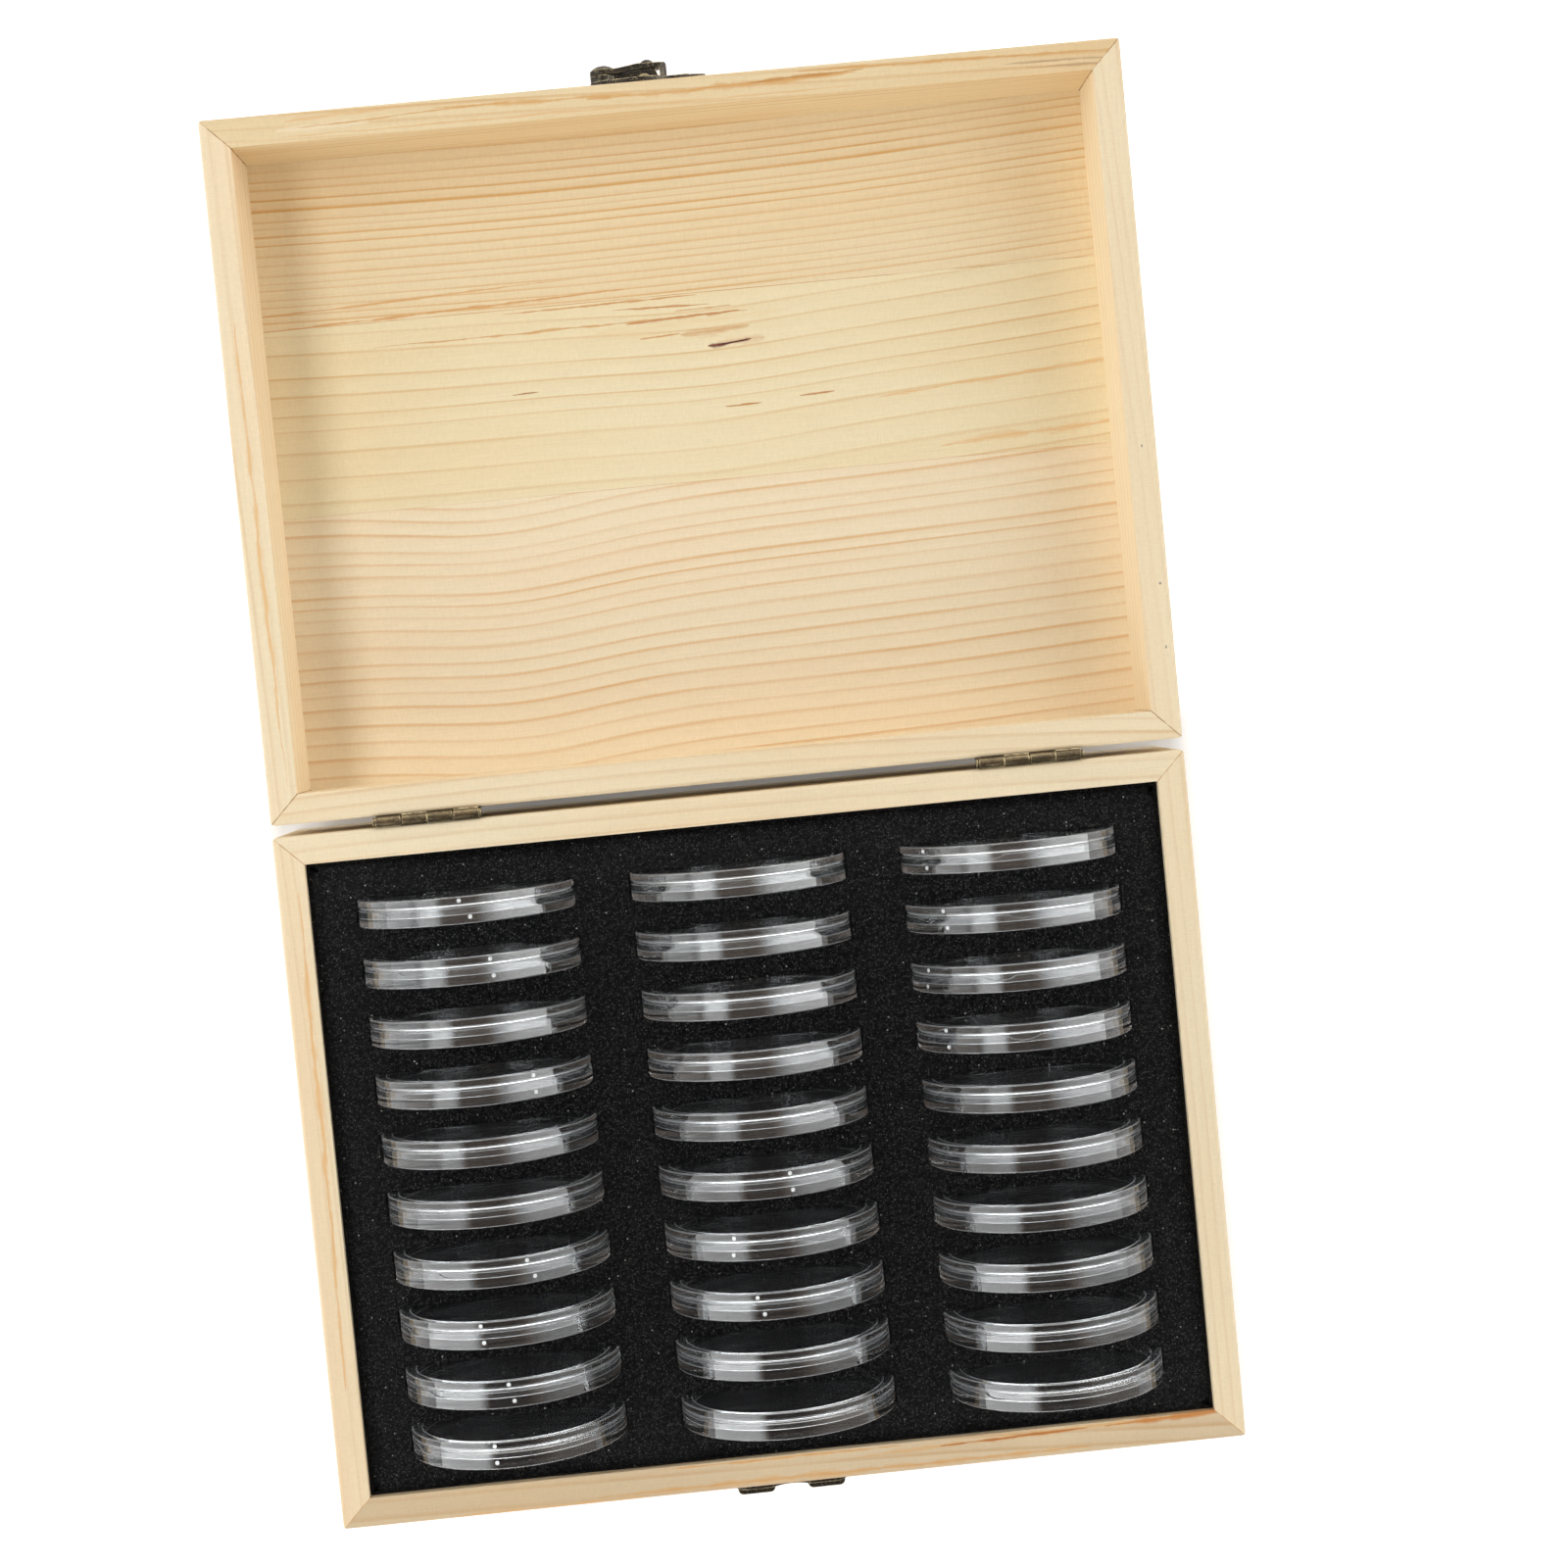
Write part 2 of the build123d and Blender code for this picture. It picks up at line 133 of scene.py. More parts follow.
# Pine's noises are stretched per metre, once along the grain and twice across it; levels are from, to, start
# and end.
pine = {
    "drift": dict(stretch=(7, 28, 28), detail=1.0), "ripple": dict(stretch=(45, 160, 160)),
    "patch": dict(stretch=(16, 60, 60), shift=9.0), "broad": dict(stretch=(9, 45, 45), shift=4.0),
    "fibre": dict(stretch=(90, 2600, 2600), detail=3.0, rough=0.65),
    "fleck": dict(stretch=(900, 2600, 2600), rough=0.6),
    "cross": dict(stretch=(2400, 500, 500), rough=0.6, shift=2.0),
    "ripple share": 0.09, "sag reach": 0.028, "uneven scale": 0.31, "uneven turns": 1.3,
    "early start": 0.1, "early level": 0.22, "ring tones": (0.6, 0.4),
    "patch levels": (0.25, 0.65, 0.55, 1.1),
    "warm levels": (0.35, 0.7), "fibre shade": (0.15, 0.9), "fleck shade": 0.10, "cross shade": (0.12, -0.09),
    "blue power": 1.25, "fibre height": 0.5, "fleck height": 0.3, "line height": 0.5,
}


# Pine: distance from the pith, bent by slope, curve, sag and noise, is cut into rings; each ring darkens
# slowly and ends sharply, and fine fibres run along the grain.
def wirePine(tree, given):
    vector, seed = given["Vector"], given["Seed"]
    along, across, depth = split(tree, vector)
    drift = calc(tree, "SUBTRACT", noiseAt(tree, vector, seed=seed, **pine["drift"]), 0.5)
    ripple = calc(tree, "SUBTRACT", noiseAt(tree, vector, seed=seed, **pine["ripple"]), 0.5)
    bend = calc(tree, "MULTIPLY_ADD", calc(tree, "MULTIPLY", along, along), given["Curve"],
                calc(tree, "MULTIPLY", along, given["Slope"]))
    near = calc(tree, "DIVIDE", calc(tree, "SUBTRACT", along, given["Sag place"]), pine["sag reach"])
    near = calc(tree, "EXPONENT", calc(tree, "MULTIPLY", calc(tree, "MULTIPLY", near, near), -1.0))
    moved = calc(tree, "MULTIPLY_ADD", near, given["Sag"], calc(tree, "ADD", across, bend))
    moved = calc(tree, "MULTIPLY_ADD", drift, given["Wobble"], moved)
    small = calc(tree, "MULTIPLY", given["Wobble"], pine["ripple share"])
    moved = calc(tree, "MULTIPLY_ADD", ripple, small, moved)
    flat = calc(tree, "SUBTRACT", moved, given["Pith across"])
    deep = calc(tree, "SUBTRACT", depth, given["Pith depth"])
    distance = calc(tree, "SQRT", calc(tree, "MULTIPLY_ADD", flat, flat, calc(tree, "MULTIPLY", deep, deep)))
    turns = calc(tree, "DIVIDE", distance, given["Spacing"])
    inputs = {"W": calc(tree, "MULTIPLY_ADD", turns, pine["uneven scale"], seed), "Scale": 1.0, "Detail": 1.0}
    uneven = addNode(tree, "ShaderNodeTexNoise", inputs, noise_dimensions="1D").outputs["Fac"]
    turns = calc(tree, "MULTIPLY_ADD", uneven, pine["uneven turns"], turns)
    part = calc(tree, "FRACT", turns)
    ring = calc(tree, "ADD", calc(tree, "FLOOR", turns), seed)
    ringTone = addNode(tree, "ShaderNodeTexWhiteNoise", {"W": ring}, noise_dimensions="1D").outputs["Value"]
    peak = calc(tree, "SUBTRACT", 1.0, given["Soft edge"])
    line = smoothStep(tree, part, calc(tree, "SUBTRACT", peak, given["Line share"]), peak)
    early = smoothStep(tree, part, pine["early start"], peak, 0.0, pine["early level"])
    fall = smoothStep(tree, part, peak, 1.0, 1.0, 0.0)
    late = calc(tree, "MULTIPLY", calc(tree, "MAXIMUM", line, early), fall)
    patch = noiseAt(tree, vector, seed=seed, **pine["patch"])
    amount = calc(tree, "MULTIPLY", late, calc(tree, "MULTIPLY_ADD", ringTone, *pine["ring tones"]))
    amount = calc(tree, "MULTIPLY", amount, smoothStep(tree, patch, *pine["patch levels"]))
    mask = calc(tree, "MULTIPLY", amount, given["Contrast"], clamp=True)
    fibre = noiseAt(tree, vector, seed=seed, **pine["fibre"])
    fleck = noiseAt(tree, vector, seed=seed, **pine["fleck"])
    broad = noiseAt(tree, vector, seed=seed, **pine["broad"])
    cross = noiseAt(tree, vector, seed=seed, **pine["cross"])
    colour = mixColour(tree, smoothStep(tree, broad, *pine["warm levels"]), given["Base"], given["Warm"])
    colour = mixColour(tree, mask, colour, given["Line"])
    shade = calc(tree, "MULTIPLY_ADD", fleck, pine["fleck shade"],
                 calc(tree, "MULTIPLY_ADD", cross, *pine["cross shade"]))
    shade = calc(tree, "ADD", calc(tree, "MULTIPLY_ADD", fibre, *pine["fibre shade"]), shade)
    blue = calc(tree, "POWER", shade, pine["blue power"])
    grey = join(tree, shade, shade, blue)
    colour = mixColour(tree, 1.0, colour, grey, "MULTIPLY")
    height = calc(tree, "MULTIPLY_ADD", fibre, pine["fibre height"],
                  calc(tree, "MULTIPLY", fleck, pine["fleck height"]))
    height = calc(tree, "ADD", height, calc(tree, "MULTIPLY", mask, pine["line height"]))
    return {"Colour": colour, "Height": height}


pineGrain = makeGroup("pineGrain", {
    "Vector": ["Vector"], "Color": ["Base", "Warm", "Line"],
    "Float": ["Spacing", "Pith across", "Pith depth", "Slope", "Curve", "Sag", "Sag place", "Line share",
              "Soft edge", "Wobble", "Contrast", "Seed"]},
    {"Color": ["Colour"], "Float": ["Height"]}, wirePine)


resin = {
    "wander": dict(stretch=(70, 12, 12)), "fibre": dict(stretch=(180, 3000, 3000), rough=0.7),
    "swell": dict(stretch=(130, 260, 260), detail=3.0, rough=0.65, shift=5.0),
    "swell levels": (0.3, 0.7, 0.25, 1.5), "fade levels": (0.2, 1.0, 1.0, 0.0),
    "thinnest": 0.00001, "tip": 0.01,
}


# Resin streak: a line that wanders by noise, whose thickness tapers to both ends as the square root of one
# less the square of the way along, is broken by noise, ends in fibres, and fades with depth.
def wireStreak(tree, given):
    vector, seed = given["Vector"], given["Seed"]
    offset = vectorCalc(tree, "SUBTRACT", vector, given["Centre"])
    along, across, below = split(tree, offset)
    halfLong, halfWide, halfDeep = split(tree, given["Half size"])
    share = calc(tree, "DIVIDE", along, halfLong)
    taper = calc(tree, "SQRT", calc(tree, "SUBTRACT", 1.0, calc(tree, "MULTIPLY", share, share), clamp=True))
    wander = calc(tree, "SUBTRACT", noiseAt(tree, vector, seed=seed, **resin["wander"]), 0.5)
    middle = calc(tree, "MULTIPLY", along, given["Slope"])
    middle = calc(tree, "MULTIPLY_ADD", wander, given["Wander"], middle)
    centred = calc(tree, "SUBTRACT", across, middle)
    swell = smoothStep(tree, noiseAt(tree, vector, seed=seed, **resin["swell"]), *resin["swell levels"])
    wide = calc(tree, "MULTIPLY", calc(tree, "MULTIPLY", halfWide, taper), swell)
    fibre = noiseAt(tree, vector, seed=seed, **resin["fibre"])
    thick = calc(tree, "MAXIMUM", wide, resin["thinnest"])
    reach = calc(tree, "DIVIDE", calc(tree, "ABSOLUTE", centred), thick)
    reach = calc(tree, "MULTIPLY_ADD", calc(tree, "SUBTRACT", fibre, 0.5), given["Raggedness"], reach)
    mask = smoothStep(tree, reach, calc(tree, "SUBTRACT", 1.0, given["Softness"]), 1.0, 1.0, 0.0)
    depth = calc(tree, "DIVIDE", calc(tree, "ABSOLUTE", below), halfDeep)
    mask = calc(tree, "MULTIPLY", mask, smoothStep(tree, depth, *resin["fade levels"]))
    return {"Mask": calc(tree, "MULTIPLY", mask, calc(tree, "GREATER_THAN", taper, resin["tip"]))}


resinStreak = makeGroup("resinStreak", {
    "Vector": ["Vector", "Centre", "Half size"],
    "Float": ["Slope", "Wander", "Raggedness", "Softness", "Seed"]}, {"Float": ["Mask"]}, wireStreak)


mitre = {"break": dict(stretch=(420, 420, 420), shift=3.0), "break levels": (0.32, 0.62, 0.35, 1.2),
         "core": 0.35}


# Mitre: distance from the plane at 45 degrees through a corner of a box, thin, and broken by noise along it.
def wireMitre(tree, given):
    offset = vectorCalc(tree, "ABSOLUTE", vectorCalc(tree, "SUBTRACT", given["Vector"], given["Centre"]))
    inside = vectorCalc(tree, "SUBTRACT", offset, given["Half size"])
    x, y, _ = split(tree, inside)
    gap = calc(tree, "ABSOLUTE", calc(tree, "SUBTRACT", x, y))
    broken = smoothStep(tree, noiseAt(tree, given["Vector"], **mitre["break"]), *mitre["break levels"])
    width = calc(tree, "MULTIPLY", broken, given["Width"])
    return {"Mask": smoothStep(tree, gap, calc(tree, "MULTIPLY", width, mitre["core"]), width, 1.0, 0.0)}


mitreLine = makeGroup("mitreLine", {"Vector": ["Vector", "Centre", "Half size"], "Float": ["Width"]},
                      {"Float": ["Mask"]}, wireMitre)


wear = {"rough": dict(stretch=(900, 900, 900), detail=3.0, rough=0.6, shift=2.0),
        "turn levels": (0.005, 0.14), "rough levels": (0.3, 0.62), "samples": 6}


# Worn edge: how far the bevelled normal turns from the flat one, broken up by noise.
def wireWorn(tree, given):
    bevel = addNode(tree, "ShaderNodeBevel", {"Radius": given["Radius"]}, samples=wear["samples"]).outputs[0]
    flat = tree.nodes.new("ShaderNodeNewGeometry").outputs["Normal"]
    turn = calc(tree, "SUBTRACT", 1.0, vectorCalc(tree, "DOT_PRODUCT", bevel, flat))
    rough = noiseAt(tree, given["Vector"], **wear["rough"])
    mask = calc(tree, "MULTIPLY", smoothStep(tree, turn, *wear["turn levels"]),
                smoothStep(tree, rough, *wear["rough levels"]))
    return {"Mask": mask, "Normal": bevel}


wornEdge = makeGroup("wornEdge", {"Vector": ["Vector"], "Float": ["Radius"]},
                     {"Float": ["Mask"], "Vector": ["Normal"]}, wireWorn)


# A new material with its tree, its object coordinates and its Principled shader.
def startMaterial(name):
    material = bpy.data.materials.new(name)
    material.use_nodes = True
    tree = material.node_tree
    place = tree.nodes.new("ShaderNodeTexCoord").outputs["Object"]
    return material, tree, place, tree.nodes["Principled BSDF"]


# A bump of a height in metres, over an optional normal.
def addBump(tree, shader, height, distance, normal=None):
    inputs = {"Height": height, "Distance": distance, "Strength": 1.0}
    if normal is not None:
        inputs["Normal"] = normal
    tree.links.new(addNode(tree, "ShaderNodeBump", inputs).outputs[0], shader.inputs["Normal"])


# A CAD node given one material.
def dress(node, material):
    node.data.materials.clear()
    node.data.materials.append(material)


# Sizes and places are in millimetres. A pith is its place across the board and in Z; a sag is its height and
# its place along the board. A streak is its place in X (along) and Y (across), its half length and half
# width, then colour, slope, wander, raggedness and softness; on a side rail, along is Y and across is X. It
# lies at the wood's top and fades over its depth. A seam is at a board's low (0) or high (1) edge in Y.
boards = {
    "case": {"line width": 0.22, "base mitre": tone(200, 160, 114), "lid mitre": tone(164, 122, 80),
             "cream": tone(237, 221, 189), "cream warm": tone(236, 216, 181),
             "cream line": tone(216, 181, 134),
             "rough levels": (0.2, 1.0, 0.62, 0.46), "gloss": 0.25, "bump": 0.00006},
    "seeds": {"start": 3.0, "step": 7.3, "count": 17, "streak step": 3.7},
    "share": 0.3, "soft": 0.15, "sag": (0, 0),
    "rails": {
        "base_front_rail": dict(
            spacing=2.4, pith=(-30, 90), slope=0.03, curve=0.1, wobble=3, contrast=0.75,
            base=tone(213, 193, 161), warm=tone(206, 182, 146), line=tone(188, 142, 90)),
        "base_rear_rail": dict(spacing=3.0, pith=(160, 60), slope=0.012, curve=0.2, wobble=3, contrast=0.6),
        "base_left_rail": dict(
            spacing=2.6, pith=(60, -90), slope=0.02, curve=0.0, wobble=3, contrast=0.55,
            warm=tone(237, 213, 177)),
        "base_right_rail": dict(
            spacing=2.6, pith=(-60, -90), slope=0.015, curve=0.1, wobble=2, contrast=0.42),
        "lid_front_rail": dict(
            spacing=2.1, pith=(190, 90), slope=0.03, curve=0.0, wobble=4, contrast=0.6,
            base=tone(230, 209, 169), warm=tone(224, 197, 152), line=tone(206, 160, 104)),
        "lid_rear_rail": dict(spacing=2.7, pith=(20, 70), slope=0.02, curve=0.3, wobble=3, contrast=0.75),
        "lid_left_rail": dict(
            spacing=2.6, pith=(60, -80), slope=0.02, curve=0.0, wobble=3, contrast=0.6,
            warm=tone(239, 217, 183)),
        "lid_right_rail": dict(spacing=2.5, pith=(-50, -80), slope=0.01, curve=0.1, wobble=2, contrast=0.5),
    },
    "panels": {
        "lid_board_front": dict(
            spacing=1.75, pith=(330, -60), slope=-0.015, curve=-0.24, wobble=2.4, contrast=1.0, share=0.28,
            soft=0.13, base=tone(235, 217, 181), warm=tone(234, 212, 172), line=tone(217, 172, 110)),
        "lid_board_middle": dict(
            spacing=3.5, pith=(120, -45), slope=-0.02, curve=-0.28, wobble=3.4, contrast=0.8, share=0.14,
            soft=0.08, sag=(1.5, 5), base=tone(237, 223, 187), warm=tone(237, 219, 180),
            line=tone(216, 176, 117)),
        "lid_board_rear": dict(
            spacing=2.9, pith=(10, -75), slope=-0.02, curve=-0.15, wobble=3.2, contrast=0.75, share=0.26,
            soft=0.13, sag=(3.4, -50), base=tone(239, 223, 192), warm=tone(239, 220, 188),
            line=tone(219, 173, 115)),
        "base_bottom": dict(
            spacing=3.4, pith=(-140, -70), slope=0.02, curve=0.2, wobble=5, contrast=0.6,
            base=tone(236, 214, 174), warm=tone(236, 208, 166), line=tone(208, 160, 108)),
    },
    "streak depth": {"board": 9, "rail": 3},
    "streaks": {
        "lid_board_front": [
            (-60, 206.2, 50, 0.6, (213, 160, 100), 0.03, 0.8, 1.2, 1.1),
            (-66, 210.0, 40, 0.5, (218, 170, 112), 0.03, 0.8, 1.2, 1.1)],
        "lid_board_middle": [
            (2, 198.2, 24, 3.2, (233, 209, 164), 0.03, 3.0, 2.2, 1.8),
            (-20, 204.4, 24, 0.45, (206, 154, 96), 0.01, 0.3, 0.9, 1.0),
            (-5, 202.4, 12, 0.4, (196, 142, 86), -0.02, 0.9, 0.9, 1.0),
            (-30, 199.3, 46, 0.5, (212, 166, 110), 0.01, 0.9, 1.0, 1.0),
            (0, 199.5, 14, 0.75, (190, 132, 78), 0.04, 1.1, 0.9, 1.1),
            (5, 201.2, 7, 0.35, (202, 150, 94), 0.04, 1.0, 0.9, 1.0),
            (-6, 195.4, 5, 0.4, (204, 154, 98), 0.04, 0.6, 0.9, 1.0),
            (7.5, 195.6, 8.5, 1.5, (205, 158, 106), 0.04, 1.2, 1.5, 1.5),
            (13.5, 192.6, 6.0, 2.2, (212, 170, 124), 0.04, 0.6, 1.5, 1.9),
            (10.8, 192.3, 5.4, 1.1, (112, 66, 50), 0.06, 1.3, 0.5, 0.9),
            (11.6, 192.4, 3.8, 0.55, (72, 36, 34), 0.06, 1.3, 0.5, 0.8),
            (12.7, 176.9, 4.6, 0.36, (190, 138, 80), 0.03, 0.4, 0.8, 0.9),
            (31, 178, 4.4, 0.36, (190, 138, 84), 0.03, 0.4, 0.8, 0.9),
            (-40, 184.5, 3.4, 0.26, (176, 126, 78), 0.03, 0.3, 0.8, 0.9),
            (82, 163.6, 22, 1.7, (228, 186, 130), 0.05, 1.0, 1.2, 1.4),
            (76, 178.0, 30, 0.9, (226, 184, 128), 0.08, 1.2, 1.2, 1.4)],
        "lid_front_rail": [
            (-75, 251.0, 14, 1.1, (221, 177, 122), 0.03, 1.2, 1.7, 1.7),
            (-80, 248.5, 11, 1.3, (239, 226, 198), 0.02, 1.0, 1.7, 1.7),
            (-60, 249.6, 26, 0.45, (211, 165, 108), 0.035, 0.8, 1.0, 1.1),
            (-30, 249.9, 24, 0.8, (212, 166, 106), -0.02, 1.0, 1.0, 1.2),
            (14, 249.5, 32, 1.1, (209, 160, 98), 0.012, 1.2, 1.0, 1.2),
            (34, 250.2, 14, 0.6, (190, 138, 78), 0.03, 1.0, 0.8, 1.0),
            (70, 250.6, 38, 0.75, (209, 162, 102), -0.018, 1.0, 1.0, 1.1),
            (94, 248.4, 13, 0.55, (184, 154, 118), -0.02, 0.8, 0.9, 1.1),
            (97, 247.1, 11, 0.4, (184, 154, 118), -0.02, 0.6, 0.9, 1.1),
            (-20, 246.8, 70, 0.5, (222, 185, 136), 0.0, 0.8, 1.0, 1.2)],
        "base_front_rail": [
            (58, -77.4, 50, 1.2, (211, 164, 104), 0.028, 0.8, 1.0, 1.5),
            (53, -77.6, 18, 0.5, (178, 112, 58), 0.025, 0.7, 0.6, 0.9),
            (90, -76.8, 15, 1.0, (194, 128, 68), 0.03, 0.5, 0.6, 1.0),
            (-4, -76.8, 30, 0.6, (208, 156, 96), 0.0, 0.6, 0.9, 1.1),
            (12, -81.8, 60, 1.1, (210, 160, 100), 0.0, 0.9, 0.9, 1.3),
            (-72, -83.0, 36, 0.8, (214, 168, 112), 0.008, 0.8, 1.0, 1.2)],
        "base_left_rail": [
            (10, -104.4, 60, 0.9, (228, 186, 132), 0.01, 1.6, 1.0, 1.0)],
        "lid_left_rail": [
            (150, -104.8, 55, 0.8, (228, 190, 138), -0.01, 1.8, 1.0, 1.0)],
        "lid_right_rail": [
            (108, 106.9, 0.4, 0.4, (150, 140, 128), 0.0, 0.0, 0.2, 0.4),
            (156.1, 105.5, 0.35, 0.35, (150, 140, 128), 0.0, 0.0, 0.2, 0.4),
            (123.2, 106.9, 0.3, 0.3, (160, 150, 138), 0.0, 0.0, 0.2, 0.4)],
    },
    "seams": {"lid_board_front": 0, "lid_board_middle": 1, "lid_board_rear": 1, "width": 0.12,
              "core": 0.3, "colour": tone(200, 152, 98), "glue levels": (0.35, 0.6, 0.25, 1.0),
              "glue": dict(stretch=(60, 60, 60), detail=3.0, rough=0.6, shift=4.0)},
}


# The middle and half size, in metres, of the box round the four rails of the base or the lid.
def railsBox(part):
    boxes = [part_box(f"{part}_{side}_rail") for side in ("front", "rear", "left", "right")]
    low, high = np.min([box[0] for box in boxes], 0), np.max([box[1] for box in boxes], 0)
    return ((low + high) / 2).tolist(), ((high - low) / 2).tolist()


# Wood of one board: pine turned to the board's length, with its own rings and streaks, a glue line at a seam
# whose strength is broken by noise, and mitre lines at the corners.
def makeWood(name, look, mitred=False):
    material, tree, place, shader = startMaterial("wood_" + name)
    vector = place
    if name.endswith(("left_rail", "right_rail")):
        x, y, z = split(tree, place)
        vector = join(tree, y, x, z)
    case, seeds = boards["case"], boards["seeds"]
    seed = seeds["start"] + seeds["step"] * (sum(map(ord, name)) % seeds["count"])
    sag, sagPlace = look.get("sag", boards["sag"])
    grain = useGroup(tree, pineGrain, {
        "Vector": vector, "Spacing": look["spacing"] * millimetre,
        "Pith across": look["pith"][0] * millimetre, "Pith depth": look["pith"][1] * millimetre,
        "Slope": look["slope"], "Curve": look["curve"],
        "Sag": sag * millimetre, "Sag place": sagPlace * millimetre,
        "Line share": look.get("share", boards["share"]), "Soft edge": look.get("soft", boards["soft"]),
        "Wobble": look["wobble"] * millimetre, "Contrast": look["contrast"],
        "Base": look.get("base", case["cream"]), "Warm": look.get("warm", case["cream warm"]),
        "Line": look.get("line", case["cream line"]), "Seed": seed})
    colour = grain["Colour"]
    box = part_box(name)
    deep = boards["streak depth"]["rail" if name.endswith("rail") else "board"]
    for number, streak in enumerate(boards["streaks"].get(name, [])):
        along, across, halfLong, halfWide, shade, slope, wander, ragged, soft = streak
        mask = useGroup(tree, resinStreak, {
            "Vector": vector, "Centre": (along * millimetre, across * millimetre, box[1][2]),
            "Half size": [value * millimetre for value in (halfLong, halfWide, deep)], "Slope": slope,
            "Wander": wander * millimetre, "Raggedness": ragged, "Softness": soft,
            "Seed": seeds["streak step"] * number + seed})["Mask"]
        colour = mixColour(tree, mask, colour, tone(*shade))
    if name in boards["seams"]:
        seams = boards["seams"]
        width = seams["width"] * millimetre
        across = split(tree, place)[1]
        gap = calc(tree, "ABSOLUTE", calc(tree, "SUBTRACT", across, box[seams[name]][1]))
        glue = smoothStep(tree, noiseAt(tree, place, **seams["glue"]), *seams["glue levels"])
        line = smoothStep(tree, gap, seams["core"] * width, width, 1.0, 0.0)
        colour = mixColour(tree, calc(tree, "MULTIPLY", glue, line), colour, seams["colour"])
    if mitred:
        part = name.split("_")[0]
        middle, half = railsBox(part)
        width = case["line width"] * millimetre
        inputs = {"Vector": place, "Centre": middle, "Half size": half, "Width": width}
        mask = useGroup(tree, mitreLine, inputs)["Mask"]
        colour = mixColour(tree, mask, colour, case[part + " mitre"])
    tree.links.new(colour, shader.inputs["Base Color"])
    tree.links.new(smoothStep(tree, grain["Height"], *case["rough levels"]), shader.inputs["Roughness"])
    shader.inputs["Specular IOR Level"].default_value = case["gloss"]
    addBump(tree, shader, grain["Height"], case["bump"])
    return material


for name, look in boards["rails"].items():
    dress(nodes[name], makeWood(name, look, mitred=True))
for name, look in boards["panels"].items():
    dress(nodes[name], makeWood(name, look))
print("stage: wood done")


# Each finish is its dark patina, its rubbed patches and how worn its edges are.
metal = {
    "hinge": (tone(60, 51, 37), tone(92, 79, 58), 0.75), "latch": (tone(30, 27, 24), tone(54, 48, 41), 0.55),
    "nail": (tone(96, 84, 62), tone(140, 124, 94), 0.7), "bright": tone(196, 178, 138),
    "edge radius": 0.00035, "metallic": 0.9, "bump": 0.00003, "broad height": 2.0,
    "broad": dict(stretch=(230, 230, 230), detail=4.0, rough=0.6, shift=5.0), "broad levels": (0.4, 0.68),
    "fine": dict(stretch=(2400, 2400, 2400), detail=3.0, rough=0.6, shift=8.0), "fine levels": (0.55, 0.75),
    "fine share": 0.35, "rough levels": (0.3, 0.7, 0.5, 0.34),
}


# Aged bronze: dark patina with paler rubbed patches, and bright metal on the worn edges.
def makeBronze(name, dark, pale, wornShare):
    material, tree, place, shader = startMaterial(name)
    worn = useGroup(tree, wornEdge, {"Vector": place, "Radius": metal["edge radius"]})
    broad = noiseAt(tree, place, **metal["broad"])
    fine = noiseAt(tree, place, **metal["fine"])
    colour = mixColour(tree, smoothStep(tree, broad, *metal["broad levels"]), dark, pale)
    glints = calc(tree, "MULTIPLY", smoothStep(tree, fine, *metal["fine levels"]), metal["fine share"])
    colour = mixColour(tree, glints, colour, metal["bright"])
    colour = mixColour(tree, calc(tree, "MULTIPLY", worn["Mask"], wornShare), colour, metal["bright"])
    tree.links.new(colour, shader.inputs["Base Color"])
    shader.inputs["Metallic"].default_value = metal["metallic"]
    tree.links.new(smoothStep(tree, broad, *metal["rough levels"]), shader.inputs["Roughness"])
    height = calc(tree, "ADD", fine, calc(tree, "MULTIPLY", broad, metal["broad height"]))
    addBump(tree, shader, height, metal["bump"], worn["Normal"])
    return material


hingeBronze = makeBronze("hinge_bronze", *metal["hinge"])
latchBronze = makeBronze("latch_bronze", *metal["latch"])
nailBronze = makeBronze("nail_bronze", *metal["nail"])
for name, node in nodes.items():
    if "nails" in name:
        dress(node, nailBronze)
    elif "hinge" in name:
        dress(node, hingeBronze)
    elif name.startswith(("latch", "keeper")):
        dress(node, latchBronze)
print("stage: metal done")


# A mesh object from an array of points in millimetres and quads, its doubled points welded.
def makePiece(name, points, quads, body, slotName, materials, faceMaterials=None):
    rounded = np.round(points, weldDigits)
    _, first, back = np.unique(rounded, axis=0, return_index=True, return_inverse=True)
    quads = back.reshape(-1)[quads]
    mesh = bpy.data.meshes.new(name)
    mesh.vertices.add(len(first))
    mesh.vertices.foreach_set("co", (points[first] * millimetre).astype(np.float32).ravel())
    following = np.roll(quads, -1, axis=1)
    keep = quads != following
    sizes = keep.sum(1)
    good = sizes >= 3
    corners = quads[good][keep[good]]
    sizes = sizes[good]
    mesh.loops.add(len(corners))
    mesh.loops.foreach_set("vertex_index", corners.astype(np.int32))
    mesh.polygons.add(len(sizes))
    mesh.polygons.foreach_set("loop_start", (np.cumsum(sizes) - sizes).astype(np.int32))
    mesh.polygons.foreach_set("use_smooth", np.ones(len(sizes), bool))
    if faceMaterials is not None:
        mesh.polygons.foreach_set("material_index", faceMaterials[good].astype(np.int32))
    mesh.update(calc_edges=True)
    mesh.validate()
    for material in materials:
        mesh.materials.append(material)
    piece = bpy.data.objects.new(name, mesh)
    bpy.context.scene.collection.objects.link(piece)
    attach(piece, body)
    return piece


# Quads of a grid of points, rows by columns, with the columns joined round if closed.
def gridQuads(rows, columns, closed, start=0):
    steps = columns if closed else columns - 1
    row, column = np.meshgrid(np.arange(rows - 1), np.arange(steps), indexing="ij")
    nextColumn = (column + 1) % columns
    corners = [row * columns + column, row * columns + nextColumn, (row + 1) * columns + nextColumn,
               (row + 1) * columns + column]
    return np.stack(corners, -1).reshape(-1, 4) + start


